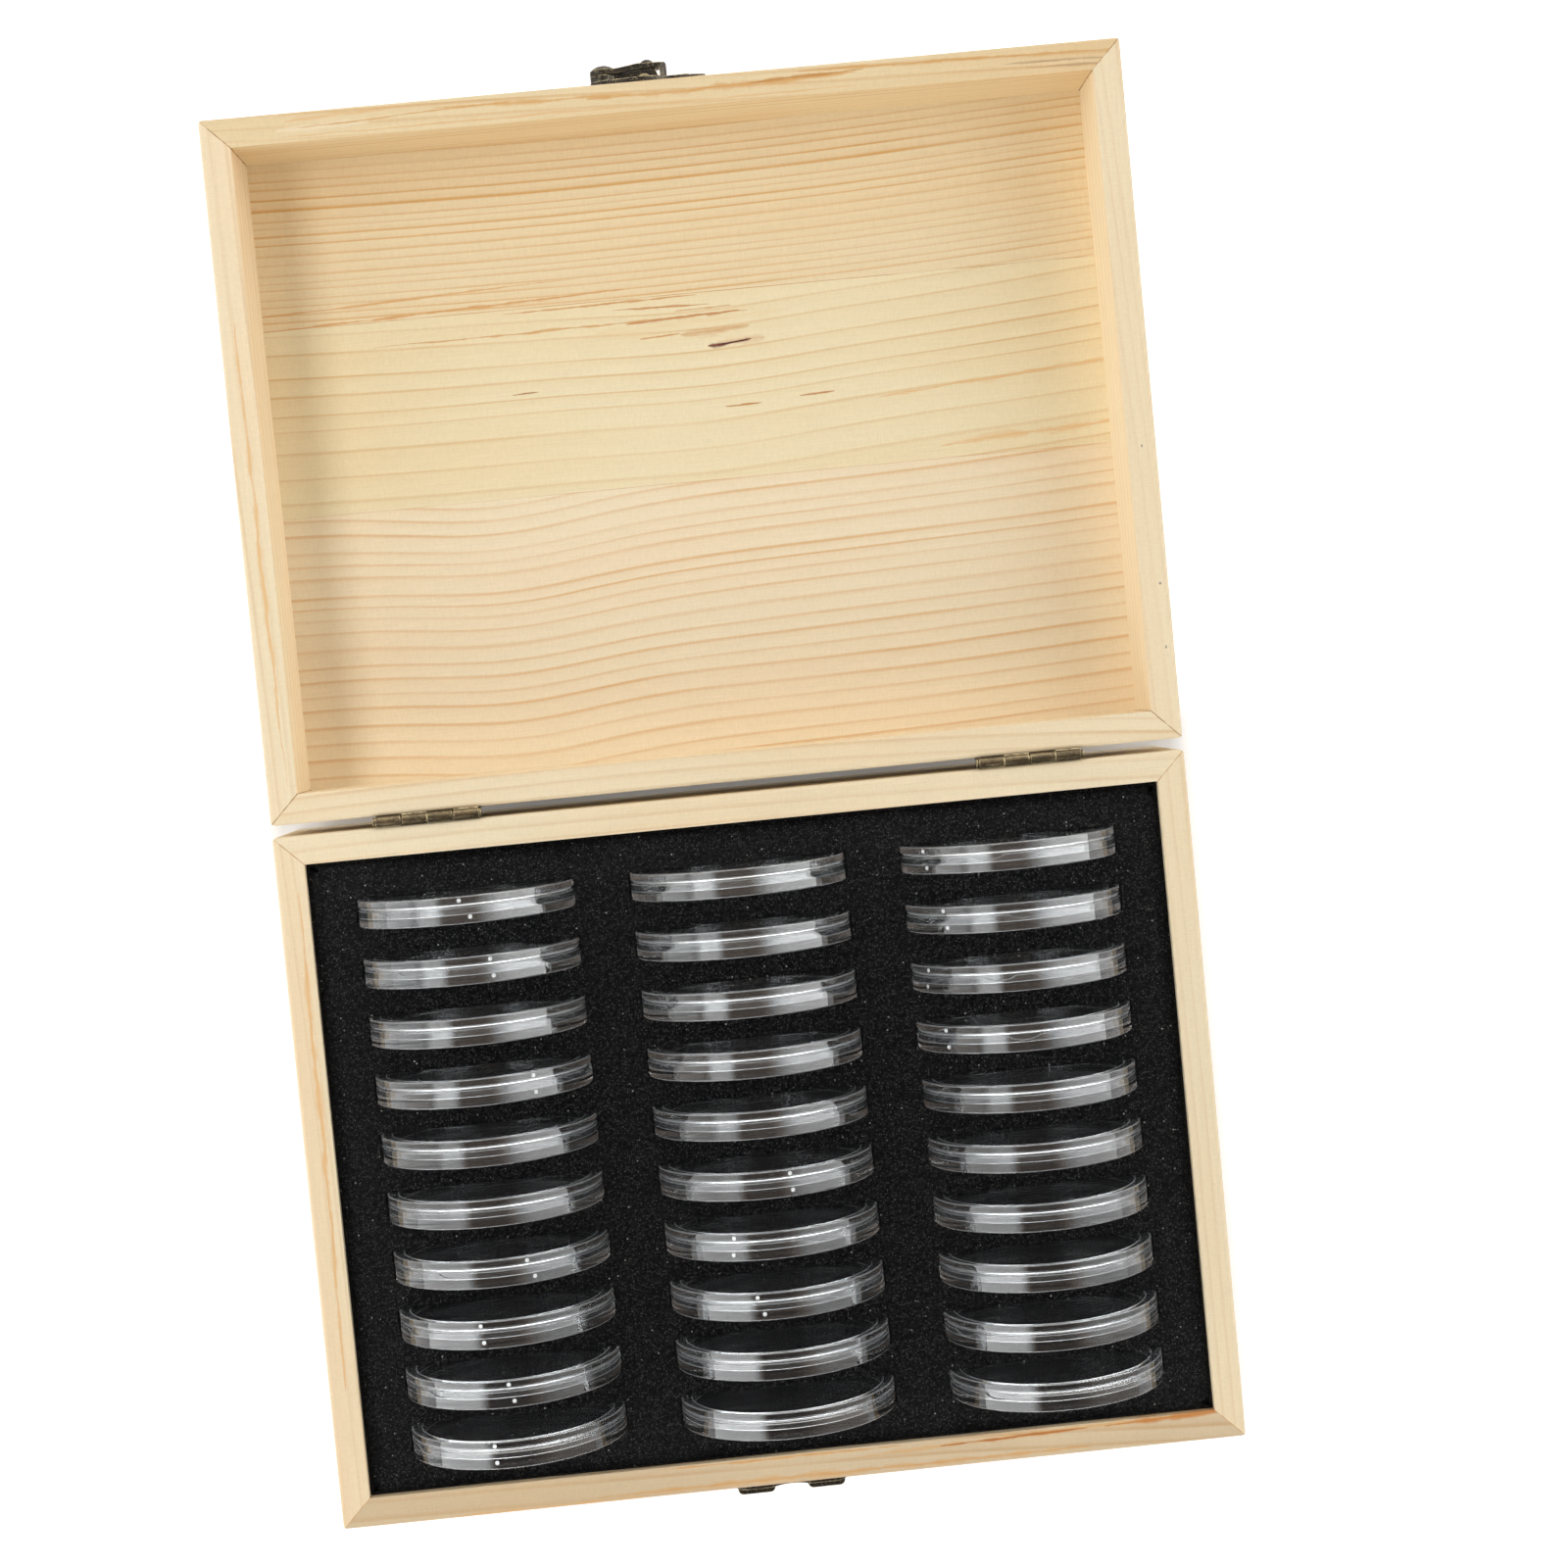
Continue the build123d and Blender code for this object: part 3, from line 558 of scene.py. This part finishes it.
foam = {"half": (101.9, 76.15), "top": 38.5, "floor": 10.1, "base": 4.1, "columns": (-65.0, 0.0, 65.0),
        "first row": 63.45, "pitch": 14.1, "rows": 10, "slot half": (25.95, 3.3), "lip": 0.3, "edge": 0.8,
        "along": 44, "across": 8, "corner reach": 0.9, "corner share": 0.55,
        "ring shares": (0, 0.3, 0.6, 0.85), "slot rings": (31.0, 24.0, 17.0), "floor lift": 0.2,
        "under shares": (1.0, 0.5, 0), "sag": 0.35, "sag depth": 4.5, "seed": 11, "waves": 5,
        "wave sizes": (20, 90), "phase": 6.3, "pad edge": 1.0, "pad cells": (60, 44), "pad gap": 0.15,
        "black": tone(6, 6, 7), "grey": tone(31, 31, 31),
        # speck and spark: painted highlights, grey and pale dots where the foam's cell walls would catch the
        # light
        "paintedGlintSpeck": tone(76, 75, 73), "paintedGlintSpark": tone(156, 156, 152), "cell scale": 2300.0, "glint scale": 1900.0,
        "glint levels": (0.15, 0.5, 1.0, 0.0), "speck levels": (0.15, 0.92), "spark levels": (0.988, 0.999),
        "speck share": 0.65, "fine": dict(stretch=(1500, 1500, 1500), detail=3.0, rough=0.7),
        "grey levels": (0.4, 0.75), "rough levels": (0.2, 0.8, 0.95, 0.75), "gloss": 0.08, "bump": 0.0002}


# Points round a rectangle, counter-clockwise from its low corner, the same count on each pair of sides.
def rectangleLoop(lowX, highX, lowY, highY, along, across):
    u, v = np.arange(along) / along, np.arange(across) / across
    bottom = np.stack([lowX + (highX - lowX) * u, np.full(along, lowY)], 1)
    right = np.stack([np.full(across, highX), lowY + (highY - lowY) * v], 1)
    top = np.stack([highX - (highX - lowX) * u, np.full(along, highY)], 1)
    left = np.stack([np.full(across, lowX), highY - (highY - lowY) * v], 1)
    return np.concatenate([bottom, right, top, left])


# A sheet's rim: from the top edge round a quarter circle, down the wall, and round again to the bottom edge.
def rimRows(loop, direction, top, bottom, edge):
    angle = np.linspace(0, np.pi / 2, 5)
    out = np.concatenate([np.sin(angle), np.sin(angle[::-1])]) * edge
    height = np.concatenate([top - edge * (1 - np.cos(angle)), bottom + edge * (1 - np.cos(angle[::-1]))])
    rows = loop[None] + direction[None] * out[:, None, None]
    return np.concatenate([rows, np.broadcast_to(height[:, None, None], (len(out), len(loop), 1))], 2)


# The outward direction of each point round a rectangle: one unit out along each side that it is on.
def outward(loop, half):
    return np.where(np.abs(np.abs(loop) - np.array(half)) < 1e-6, np.sign(loop), 0.0)


# How far the foam's top dips at a place: the sag times half of one plus the mean of seeded sine waves, fading
# to none at a depth below the top.
def foamDip(x, y, heights, waves):
    wave = sum(np.sin(x / size[0] * 2 + y / size[1] * 2 + phase) for size, phase in waves) / foam["waves"]
    share = np.clip((heights - (foam["top"] - foam["sag depth"])) / foam["sag depth"], 0, 1)
    return share * foam["sag"] * (0.5 + 0.5 * wave)


# Slotted foam: each cell runs in rings from its border to the slot's rounded lip, down the slot, and back out
# below; the top dips a little by seeded waves.
def makeInsert():
    rng = np.random.default_rng(foam["seed"])
    inset = (foam["half"][0] - foam["edge"], foam["half"][1] - foam["edge"])
    columns = np.array(foam["columns"])
    xs = np.concatenate([[-inset[0]], (columns[1:] + columns[:-1]) / 2, [inset[0]]])
    rowPlaces = foam["first row"] - foam["pitch"] * np.arange(foam["rows"])
    ys = np.concatenate([[inset[1]], (rowPlaces[1:] + rowPlaces[:-1]) / 2, [-inset[1]]])
    along, across, lip = foam["along"], foam["across"], foam["lip"]
    halfX, halfY = foam["slot half"]
    turn = np.linspace(0, np.pi / 2, 5)
    sizes, phase = foam["wave sizes"], foam["phase"]
    waves = [(rng.uniform(*sizes, 2), rng.uniform(0, phase)) for _ in range(foam["waves"])]
    points, quads, start = [], [], 0
    for column, centreX in enumerate(foam["columns"]):
        for row, centreY in enumerate(rowPlaces):
            border = rectangleLoop(xs[column], xs[column + 1], ys[row + 1], ys[row], along, across)
            slot = rectangleLoop(-halfX, halfX, -halfY, halfY, along, across)
            nearCorner = (np.abs(slot) > np.array([halfX, halfY]) - foam["corner reach"]).all(1)
            away = outward(slot, (halfX, halfY)) * np.where(nearCorner, foam["corner share"], 1.0)[:, None]
            slot = slot + np.array([centreX, centreY])
            lipLoop = slot + away * lip
            rings = [border + (lipLoop - border) * share for share in foam["ring shares"]]
            heights = [foam["top"]] * len(foam["ring shares"])
            rings += [slot + away * lip * (1 - math.sin(a)) for a in turn]
            heights += [foam["top"] - lip * (1 - math.cos(a)) for a in turn]
            rings += [slot] * (len(foam["slot rings"]) + 1)
            heights += [*foam["slot rings"], foam["floor"] + foam["floor lift"]]
            rings += [border + (slot - border) * share for share in foam["under shares"]]
            heights += [foam["floor"]] * len(foam["under shares"])
            rings = np.array(rings)
            heights = np.array(heights)[:, None] * np.ones(rings.shape[:2])
            heights = heights - foamDip(rings[..., 0], rings[..., 1], heights, waves)
            points.append(np.concatenate([rings, heights[..., None]], 2).reshape(-1, 3))
            quads.append(gridQuads(len(rings), rings.shape[1], True, start)[:, ::-1])
            start += len(points[-1])
    edgeX = [np.linspace(low, high, along, endpoint=False) for low, high in zip(xs, xs[1:])]
    edgeX = np.concatenate(edgeX + [xs[-1:]])
    edgeY = [np.linspace(low, high, across, endpoint=False) for low, high in zip(ys[:0:-1], ys[-2::-1])]
    edgeY = np.concatenate(edgeY + [ys[:1]])
    bottom = np.stack([edgeX, np.full(len(edgeX), ys[-1])], 1)
    top = np.stack([edgeX[::-1], np.full(len(edgeX), ys[0])], 1)
    right = np.stack([np.full(len(edgeY), xs[-1]), edgeY], 1)
    left = np.stack([np.full(len(edgeY), xs[0]), edgeY[::-1]], 1)
    loop = np.concatenate([bottom[:-1], right[:-1], top[:-1], left[:-1]])
    rim = rimRows(loop, outward(loop, inset), foam["top"], foam["floor"], foam["edge"])
    rim[..., 2] -= foamDip(loop[:, 0], loop[:, 1], rim[..., 2], waves)
    points.append(rim.reshape(-1, 3))
    quads.append(gridQuads(rim.shape[0], rim.shape[1], True, start)[:, ::-1])
    return np.concatenate(points), np.concatenate(quads)


# Plain foam sheet: a grid above, a grid below and a rounded rim between them.
def makeBacking():
    edge, (countX, countY) = foam["pad edge"], foam["pad cells"]
    half = (foam["half"][0] - edge, foam["half"][1] - edge)
    top, bottom = foam["floor"] - foam["pad gap"], foam["base"]
    x, y = np.linspace(-half[0], half[0], countX + 1), np.linspace(-half[1], half[1], countY + 1)
    gridX, gridY = np.meshgrid(x, y)
    upper = np.stack([gridX, gridY, np.full_like(gridX, top)], -1).reshape(-1, 3)
    lower = np.stack([gridX, gridY, np.full_like(gridX, bottom)], -1).reshape(-1, 3)
    loop = rectangleLoop(-half[0], half[0], -half[1], half[1], countX, countY)
    rim = rimRows(loop, outward(loop, half), top, bottom, edge)
    quads = [gridQuads(countY + 1, countX + 1, False),
             gridQuads(countY + 1, countX + 1, False, len(upper))[:, ::-1],
             gridQuads(rim.shape[0], rim.shape[1], True, 2 * len(upper))[:, ::-1]]
    return np.concatenate([upper, lower, rim.reshape(-1, 3)]), np.concatenate(quads)


# Foam: black open cells with painted highlights, scattered grey specks and rarer pale sparks where the cell
# walls would catch the light, over a fine noise.
def makeFoam():
    material, tree, place, shader = startMaterial("foam_black")
    cells = addNode(tree, "ShaderNodeTexVoronoi", {"Vector": place, "Scale": foam["cell scale"]})
    glint = addNode(tree, "ShaderNodeTexVoronoi", {"Vector": place, "Scale": foam["glint scale"]})
    chance = addNode(tree, "ShaderNodeSeparateColor", {0: glint.outputs["Color"]}).outputs[0]
    near = smoothStep(tree, glint.outputs["Distance"], *foam["glint levels"])
    # Painted highlights: grey specks and rarer pale sparks at scattered cells, standing in for light caught
    # by the cell walls.
    paintedGlintSpeck = calc(tree, "MULTIPLY", near, smoothStep(tree, chance, *foam["speck levels"]))
    paintedGlintSpark = calc(tree, "MULTIPLY", near, smoothStep(tree, chance, *foam["spark levels"]))
    fine = noiseAt(tree, place, **foam["fine"])
    colour = mixColour(tree, smoothStep(tree, fine, *foam["grey levels"]), foam["black"], foam["grey"])
    colour = mixColour(tree, calc(tree, "MULTIPLY", paintedGlintSpeck, foam["speck share"]), colour, foam["paintedGlintSpeck"])
    colour = mixColour(tree, paintedGlintSpark, colour, foam["paintedGlintSpark"])
    tree.links.new(colour, shader.inputs["Base Color"])
    tree.links.new(smoothStep(tree, fine, *foam["rough levels"]), shader.inputs["Roughness"])
    shader.inputs["Specular IOR Level"].default_value = foam["gloss"]
    height = calc(tree, "ADD", calc(tree, "MULTIPLY", cells.outputs["Distance"], -1.0), fine)
    addBump(tree, shader, height, foam["bump"])
    return material


foamMaterial = makeFoam()
insert = makePiece("foam_block", *makeInsert(), "base", "foam", [foamMaterial])
backing = makePiece("foam_pad", *makeBacking(), "base", "foam", [foamMaterial])
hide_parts("foam_insert")
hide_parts("foam_backing")
print("stage: foam done", len(insert.data.polygons))


capsule = {
    "radius": 25.72, "thickness": 6.4, "centre height": 36.1, "bore": 23.1, "round": 0.25, "lip": 25.3,
    "hold": 0.03,
    "cover end": 2.18, "cover recess": 1.75, "dish start": 2.22, "dish floor": 4.4, "groove start": 1.78,
    "groove end": 2.56, "groove round": 0.12, "notch half angle": 8.2, "notch depth": 1.35,
    "gate radius": 0.5, "gate height": 0.07, "cover gate": 0.95, "dish gate": 4.85, "steps": 171,
    "notch steps": 41,
    "edge length": 0.22, "bend": 1.58, "notch reach": 1.25, "hold from": 8, "hold least": 3,
    "bore slack": 0.5, "chamfer": 0.15, "nick": 0.06, "gate sides": 20,
    "gate rings": (1.0, 1.0, 0.85, 0.6, 0.5, 0.0),
    "gate lifts": (-0.12, 0.5, 1.0, 1.0, 0.3, 0.2),
    "smudge": dict(stretch=(70, 70, 70), detail=4.0, rough=0.6, shift=1.0),
    "flow": dict(stretch=(60, 150, 60), detail=0.0, shift=6.0), "smudge levels": (0.3, 0.7),
    "smudge tones": (tone(250, 251, 252), tone(243, 246, 248)), "frost levels": (0.5, 0.8),
    "frost rise": 0.03,
    "bump": 0.00001, "shadow": (0.93, 0.94, 0.95, 1),
    "finishes": [("capsule_disc", 0.997, 0.0), ("capsule_rim", 0.990, 0.0), ("capsule_edge", 0.84, 0.2),
                 ("capsule_gate", 0.55, 0.5)],
    "turns": {
        "left": [
            ((1, 6), -40), ((14, 15), -29), ((170, 172), 120), ((31, 31.6), 78), ((150, 152), 200),
            ((-130, -131), 165), ((17.4, 20.8), -23), ((-10, -9), -54), ((1.5, 3.7), -38), ((-9, -8.5), -56)],
        "middle": [
            ((160, 161), 120), ((150, 152), 110), ((-160, -161), -110), ((140, 141), 190), ((170, 172), -150),
            ((11.6, 12.4), 100), ((-21, -22), 23), ((-11.4, -8.4), 36), ((165, 166), -140),
            ((130, 131), 175)],
        "right": [
            ((-56, -54), -16), ((-45, -43), 0), ((-61, -63), -16), ((-51, -50), -6), ((150, 151), 110),
            ((-140, -141), 160), ((165, 166), -120), ((140, 142), 100), ((-104, -104), -59),
            ((110, 112), -39)],
    },
}


# Angles round a capsule: even steps, with closer ones across the notch.
def capsuleAngles(notch):
    half = capsule["notch half angle"] * capsule["notch reach"]
    near = np.linspace(notch - half, notch + half, capsule["notch steps"])
    far = np.linspace(notch + half, notch - half + 360, capsule["steps"])[1:-1]
    return np.radians(np.concatenate([near, far]))


# A turned shell: its profile of radius and depth at each angle, swept round the Y axis. Each long stretch of
# the profile gets a ring close to both ends, which holds it flat under smooth shading. A face is 0 on the
# discs, 1 on the rim and 2 on the short stretches that make the edges.
def turned(profile, angles, centreX, centreY):
    rows = [np.stack(np.broadcast_arrays(radius, depth, angles)[:2]) for radius, depth in profile]
    held = rows[:1]
    for first, second in zip(rows, rows[1:]):
        length = np.hypot(*(second - first))
        if length.max() > capsule["hold from"] * capsule["hold"]:
            share = capsule["hold"] / np.maximum(length, capsule["hold least"] * capsule["hold"])
            held += [first + (second - first) * share, second - (second - first) * share]
        held.append(second)
    radii, depths = np.stack(held, 1)
    length = np.hypot(np.diff(radii, axis=0), np.diff(depths, axis=0)).max(1)
    outer = radii[:-1].min(1) + radii[1:].min(1) > 2 * capsule["bore"] - capsule["bore slack"]
    finish = np.where(length < capsule["edge length"], 2, np.where(outer, 1, 0))
    x = centreX + radii * np.sin(angles)
    z = capsule["centre height"] + radii * np.cos(angles)
    shell = np.stack([x, centreY + capsule["thickness"] / 2 - depths, z], -1)
    return shell, np.repeat(finish, len(angles))


# A quarter turn about a radius and depth: radius plus size times cosine, depth plus size times sine.
def cornerArc(radius, depth, size, startAngle):
    angle = np.radians(startAngle + np.linspace(0, 90, 5))
    return [(radius + size * c, depth + size * s) for c, s in zip(np.cos(angle), np.sin(angle))]


# A capsule: a flat cover and a dish, each a profile swept round; the dish's outer wall dips in a half ellipse
# at the thumb notch, and two small gate marks stand on the rim.
def makeCapsule(centreX, centreY, gates, notch):
    angles = capsuleAngles(notch)
    radius, size, bore, lip = capsule["radius"], capsule["round"], capsule["bore"], capsule["lip"]
    end, start, soft = capsule["cover end"], capsule["dish start"], capsule["groove round"]
    thick, chamfer, nick = capsule["thickness"], capsule["chamfer"], capsule["nick"]
    recess, ledge = capsule["cover recess"], capsule["dish floor"]
    cover = [(0, 0), *cornerArc(radius - size, size, size, -90),
             *cornerArc(radius - soft, capsule["groove start"] - soft, soft, 0),
             (lip, capsule["groove start"]), (lip, end - nick), (lip - nick, end), (bore + chamfer, end),
             (bore, end - chamfer), (bore, recess), (0, recess)]
    share = (np.degrees(angles) - notch + 180) % 360 - 180
    dip = np.sqrt(np.clip(1 - (share / capsule["notch half angle"]) ** 2, 0, 1))
    edge = np.maximum(capsule["groove end"], start + capsule["notch depth"] * dip)
    dish = [(0, ledge), (bore - chamfer, ledge), (bore, ledge - chamfer), (bore, start + chamfer),
            (bore + chamfer, start), (lip - nick, start), (lip, start + nick), (lip, edge),
            *[(r, edge + w) for r, w in cornerArc(radius - soft, soft, soft, -90)],
            *cornerArc(radius - size, thick - size, size, 0), (0, thick)]
    points, quads, finish = [], [], []
    for profile in (cover, dish):
        shell, faces = turned(profile, angles, centreX, centreY)
        quads.append(gridQuads(len(shell), len(angles), True, sum(map(len, points)))[:, ::-1])
        points.append(shell.reshape(-1, 3))
        finish.append(faces)
    around = np.linspace(0, 2 * np.pi, capsule["gate sides"], endpoint=False)
    reach = np.array(capsule["gate rings"]) * capsule["gate radius"]
    lift = np.array(capsule["gate lifts"]) * capsule["gate height"]
    for gate, depth in zip(gates, (capsule["cover gate"], capsule["dish gate"])):
        alongRim = np.outer(reach, np.cos(around)) / radius + math.radians(gate)
        x = centreX + (radius + lift[:, None]) * np.sin(alongRim)
        y = centreY + thick / 2 - depth - np.outer(reach, np.sin(around))
        z = capsule["centre height"] + (radius + lift[:, None]) * np.cos(alongRim)
        quads.append(gridQuads(len(reach), len(around), True, sum(map(len, points))))
        points.append(np.stack([x, y, z], -1).reshape(-1, 3))
        finish.append(np.full(len(quads[-1]), 3))
    return np.concatenate(points), np.concatenate(quads), np.concatenate(finish)


# Clear plastic: glass with faint smudges in its roughness and slow flow waves in its surface.
def makePlastic(name, clearness, frost):
    material, tree, place, shader = startMaterial(name)
    smudge = noiseAt(tree, place, **capsule["smudge"])
    wave = noiseAt(tree, place, **capsule["flow"])
    shader.inputs["Transmission Weight"].default_value = clearness
    shader.inputs["IOR"].default_value = capsule["bend"]
    colour = mixColour(tree, smoothStep(tree, smudge, *capsule["smudge levels"]), *capsule["smudge tones"])
    tree.links.new(colour, shader.inputs["Base Color"])
    rough = smoothStep(tree, smudge, *capsule["frost levels"], frost, frost + capsule["frost rise"])
    tree.links.new(rough, shader.inputs["Roughness"])
    addBump(tree, shader, wave, capsule["bump"])
    shade = tree.nodes.new("ShaderNodeLightPath").outputs["Is Shadow Ray"]
    through = addNode(tree, "ShaderNodeBsdfTransparent", {"Color": capsule["shadow"]}).outputs[0]
    joined = addNode(tree, "ShaderNodeMixShader", {0: shade, 1: shader.outputs[0], 2: through}).outputs[0]
    tree.links.new(joined, tree.nodes["Material Output"].inputs["Surface"])
    return material


plastics = [makePlastic(*finish) for finish in capsule["finishes"]]
for side, centreX in zip(("left", "middle", "right"), foam["columns"]):
    for row, (gates, notch) in enumerate(capsule["turns"][side]):
        name = f"capsule_{side}_{row + 1:02d}"
        points, quads, faces = makeCapsule(centreX, foam["first row"] - foam["pitch"] * row, gates, notch)
        piece = makePiece("clear_" + name, points, quads, name, "clear_plastic", plastics, faces)
        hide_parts(name)
print("stage: capsules done", len(piece.data.polygons))


studio = {
    "camera": (-0.0050825, 0.1112421, 0.70963), "lens": 64.6875,
    "right": (0.99490924, -0.09596124, 0.03077417), "down": (-0.09708659, -0.99457169, 0.03743446),
    "forward": (0.02701486, -0.04023165, -0.99882512),
    "lights": [("key", (-0.72, 0.42, 1.15), (0, 0.08, 0), (0.40, 1.3), 7.9, (1.0, 0.98, 0.95)),
               ("left", (-1.25, -0.55, 0.55), (0, 0.0, 0), (0.9, 0.8), 3.6, (0.96, 0.98, 1.0)),
               ("right", (1.15, 0.20, 0.75), (0, 0.08, 0), (1.2, 1.0), 5.6, (1.0, 0.99, 0.97)),
               ("front", (0.10, -1.30, 0.75), (0, 0.10, 0), (1.2, 0.5), 2.8, (1.0, 0.99, 0.97))],
    "horizon": (0.83, 0.83, 0.84, 1), "zenith": (0.10, 0.085, 0.07, 1), "overhead": 0.7,
    "brown": (1.0, 0.78, 0.62, 1), "pale": (0.98, 1.0, 1.0, 1),
    "boxes": [((8, 50), (88, 100), (-0.34, -0.02), 6.2), ((-98, -88), (-38, -22), (-0.13, -0.24), 5.0),
              ((-58, -45), (-33, -20), (-0.20, -0.12), 4.2), ((-98, -88), (-62, -50), (-0.20, 0.0), 3.5),
              ((-100, -70), (70, 100), (-0.50, -0.70), 2.0), ((-100, -70), (70, 100), (0.42, 0.62), 2.0)],
    "overhead levels": (-0.3, 0.0, 0.15, 1.0), "zenith levels": (0.45, 0.95), "mirror levels": (0.2, 2.0),
    "rise levels": (-0.12, 0.0), "sensor": 36.0, "near": 0.01, "far": 50,
    "floor": tone(226, 226, 228), "floor patches": tone(232, 232, 233), "floor half": 6.0, "floor lines": 41,
    "floor bend": 4, "floor height": -0.0002, "paper": dict(stretch=(60, 60, 60), detail=3.0),
    "paper rough": 0.9, "glow": 0.62, "gap glow": 0.18, "shade half": (0.109, 0.08605, 1.0),
    "shade fade": 0.012, "bounces": (24, 12, 20),
}


# An object turned to three axes and moved to a place, then linked into the scene.
def stand(thing, axes, place):
    placed = np.eye(4)
    placed[:3, :3], placed[:3, 3] = np.array(axes).T, place
    thing.matrix_world = Matrix(placed.tolist())
    bpy.context.scene.collection.objects.link(thing)


camera = bpy.data.objects.new("camera", bpy.data.cameras.new("camera"))
stand(camera, [studio["right"], -np.array(studio["down"]), -np.array(studio["forward"])], studio["camera"])
camera.data.lens, camera.data.sensor_width = studio["lens"], studio["sensor"]
camera.data.clip_start, camera.data.clip_end = studio["near"], studio["far"]
bpy.context.scene.camera = camera

for name, place, target, (width, height), power, colour in studio["lights"]:
    lamp = bpy.data.lights.new(name, "AREA")
    holder = bpy.data.objects.new(name, lamp)
    holder.visible_glossy = holder.visible_transmission = False
    lamp.shape, lamp.size, lamp.size_y, lamp.energy, lamp.color = "RECTANGLE", width, height, power, colour
    away = np.array(place) - np.array(target)
    away = away / np.linalg.norm(away)
    side = np.cross((0, 1, 0), away)
    side = side / np.linalg.norm(side)
    stand(holder, [side, np.cross(away, side), away], place)


# Strength of a patch of sky: a product of smooth steps, each over the side tilt in degrees or the slope along
# Y, times its level.
def skyPatch(tree, tilt, slope, tiltIn, tiltOut, slopeStep, level):
    rise = smoothStep(tree, tilt, *tiltIn)
    fall = smoothStep(tree, tilt, *tiltOut, 1.0, 0.0)
    amount = calc(tree, "MULTIPLY", calc(tree, "MULTIPLY", rise, fall), smoothStep(tree, slope, *slopeStep))
    return calc(tree, "MULTIPLY", amount, level)


# The sky: pale at the horizon and dark overhead for the light, soft boxes at each side where it is mirrored,
# and white where it is seen.
world = bpy.data.worlds.new("studio")
bpy.context.scene.world = world
world.use_nodes = True
tree = world.node_tree
direction = tree.nodes.new("ShaderNodeTexCoord").outputs["Generated"]
aside, slope, up = split(tree, direction)
sky = mixColour(tree, smoothStep(tree, up, *studio["zenith levels"]), studio["horizon"], studio["zenith"])
tilt = calc(tree, "MULTIPLY", calc(tree, "ARCTAN2", aside, up), 180 / math.pi)
overhead = smoothStep(tree, slope, *studio["overhead levels"])
total = calc(tree, "MULTIPLY", overhead, studio["overhead"])
for patch in studio["boxes"]:
    total = calc(tree, "ADD", total, skyPatch(tree, tilt, slope, *patch))
mirrored = mixColour(tree, smoothStep(tree, total, *studio["mirror levels"]), studio["brown"], studio["pale"])
strong = calc(tree, "MULTIPLY", smoothStep(tree, up, *studio["rise levels"]), total)
strength = join(tree, strong, strong, strong)
mirrored = mixColour(tree, 1.0, mirrored, strength, "MULTIPLY")
path = tree.nodes.new("ShaderNodeLightPath").outputs
bent = calc(tree, "ADD", path["Is Glossy Ray"], path["Is Transmission Ray"], clamp=True)
sky = mixColour(tree, bent, sky, mirrored)
sky = mixColour(tree, path["Is Camera Ray"], sky, (1, 1, 1, 1))
tree.links.new(sky, tree.nodes["Background"].inputs["Color"])

# The floor: pale and matt, with a glow where it is seen that fades near the object, down to a faint painted
# glow, so that its shadow stays.
lines, bend = studio["floor lines"], studio["floor bend"]
axis = np.sinh(np.linspace(-bend, bend, lines)) / math.sinh(bend) * studio["floor half"]
gridX, gridY = np.meshgrid(axis, axis)
floorPoints = np.stack([gridX, gridY, np.full_like(gridX, studio["floor height"])], -1).reshape(-1, 3)
floorMesh = bpy.data.meshes.new("floor")
floorMesh.from_pydata(floorPoints.tolist(), [], gridQuads(lines, lines, False).tolist())
floor = bpy.data.objects.new("floor", floorMesh)
bpy.context.scene.collection.objects.link(floor)
material, tree, place, shader = startMaterial("floor_paper")
paper = noiseAt(tree, place, **studio["paper"])
colour = mixColour(tree, paper, studio["floor"], studio["floor patches"])
tree.links.new(colour, shader.inputs["Base Color"])
shader.inputs["Roughness"].default_value = studio["paper rough"]
path = tree.nodes.new("ShaderNodeLightPath").outputs
seen = calc(tree, "ADD", path["Is Camera Ray"], path["Is Glossy Ray"])
seen = calc(tree, "ADD", seen, path["Is Transmission Ray"], clamp=True)
outside = vectorCalc(tree, "SUBTRACT", vectorCalc(tree, "ABSOLUTE", place), studio["shade half"])
reach = vectorCalc(tree, "LENGTH", vectorCalc(tree, "MAXIMUM", outside, (0, 0, 0)))
# Near and under the object the glow falls only to the gap glow: a painted glow that makes the shaded floor
# seen between the trays read grey.
clearOf = calc(tree, "MAXIMUM", smoothStep(tree, reach, 0.0, studio["shade fade"]), studio["gap glow"])
shader.inputs["Emission Color"].default_value = (1, 1, 1, 1)
tree.links.new(calc(tree, "MULTIPLY", calc(tree, "MULTIPLY", seen, clearOf), studio["glow"]),
               shader.inputs["Emission Strength"])
floorMesh.materials.append(material)
bpy.context.scene.view_settings.view_transform = "Standard"
paths = bpy.context.scene.cycles
paths.max_bounces, paths.glossy_bounces, paths.transmission_bounces = studio["bounces"]
print("stage: studio done")
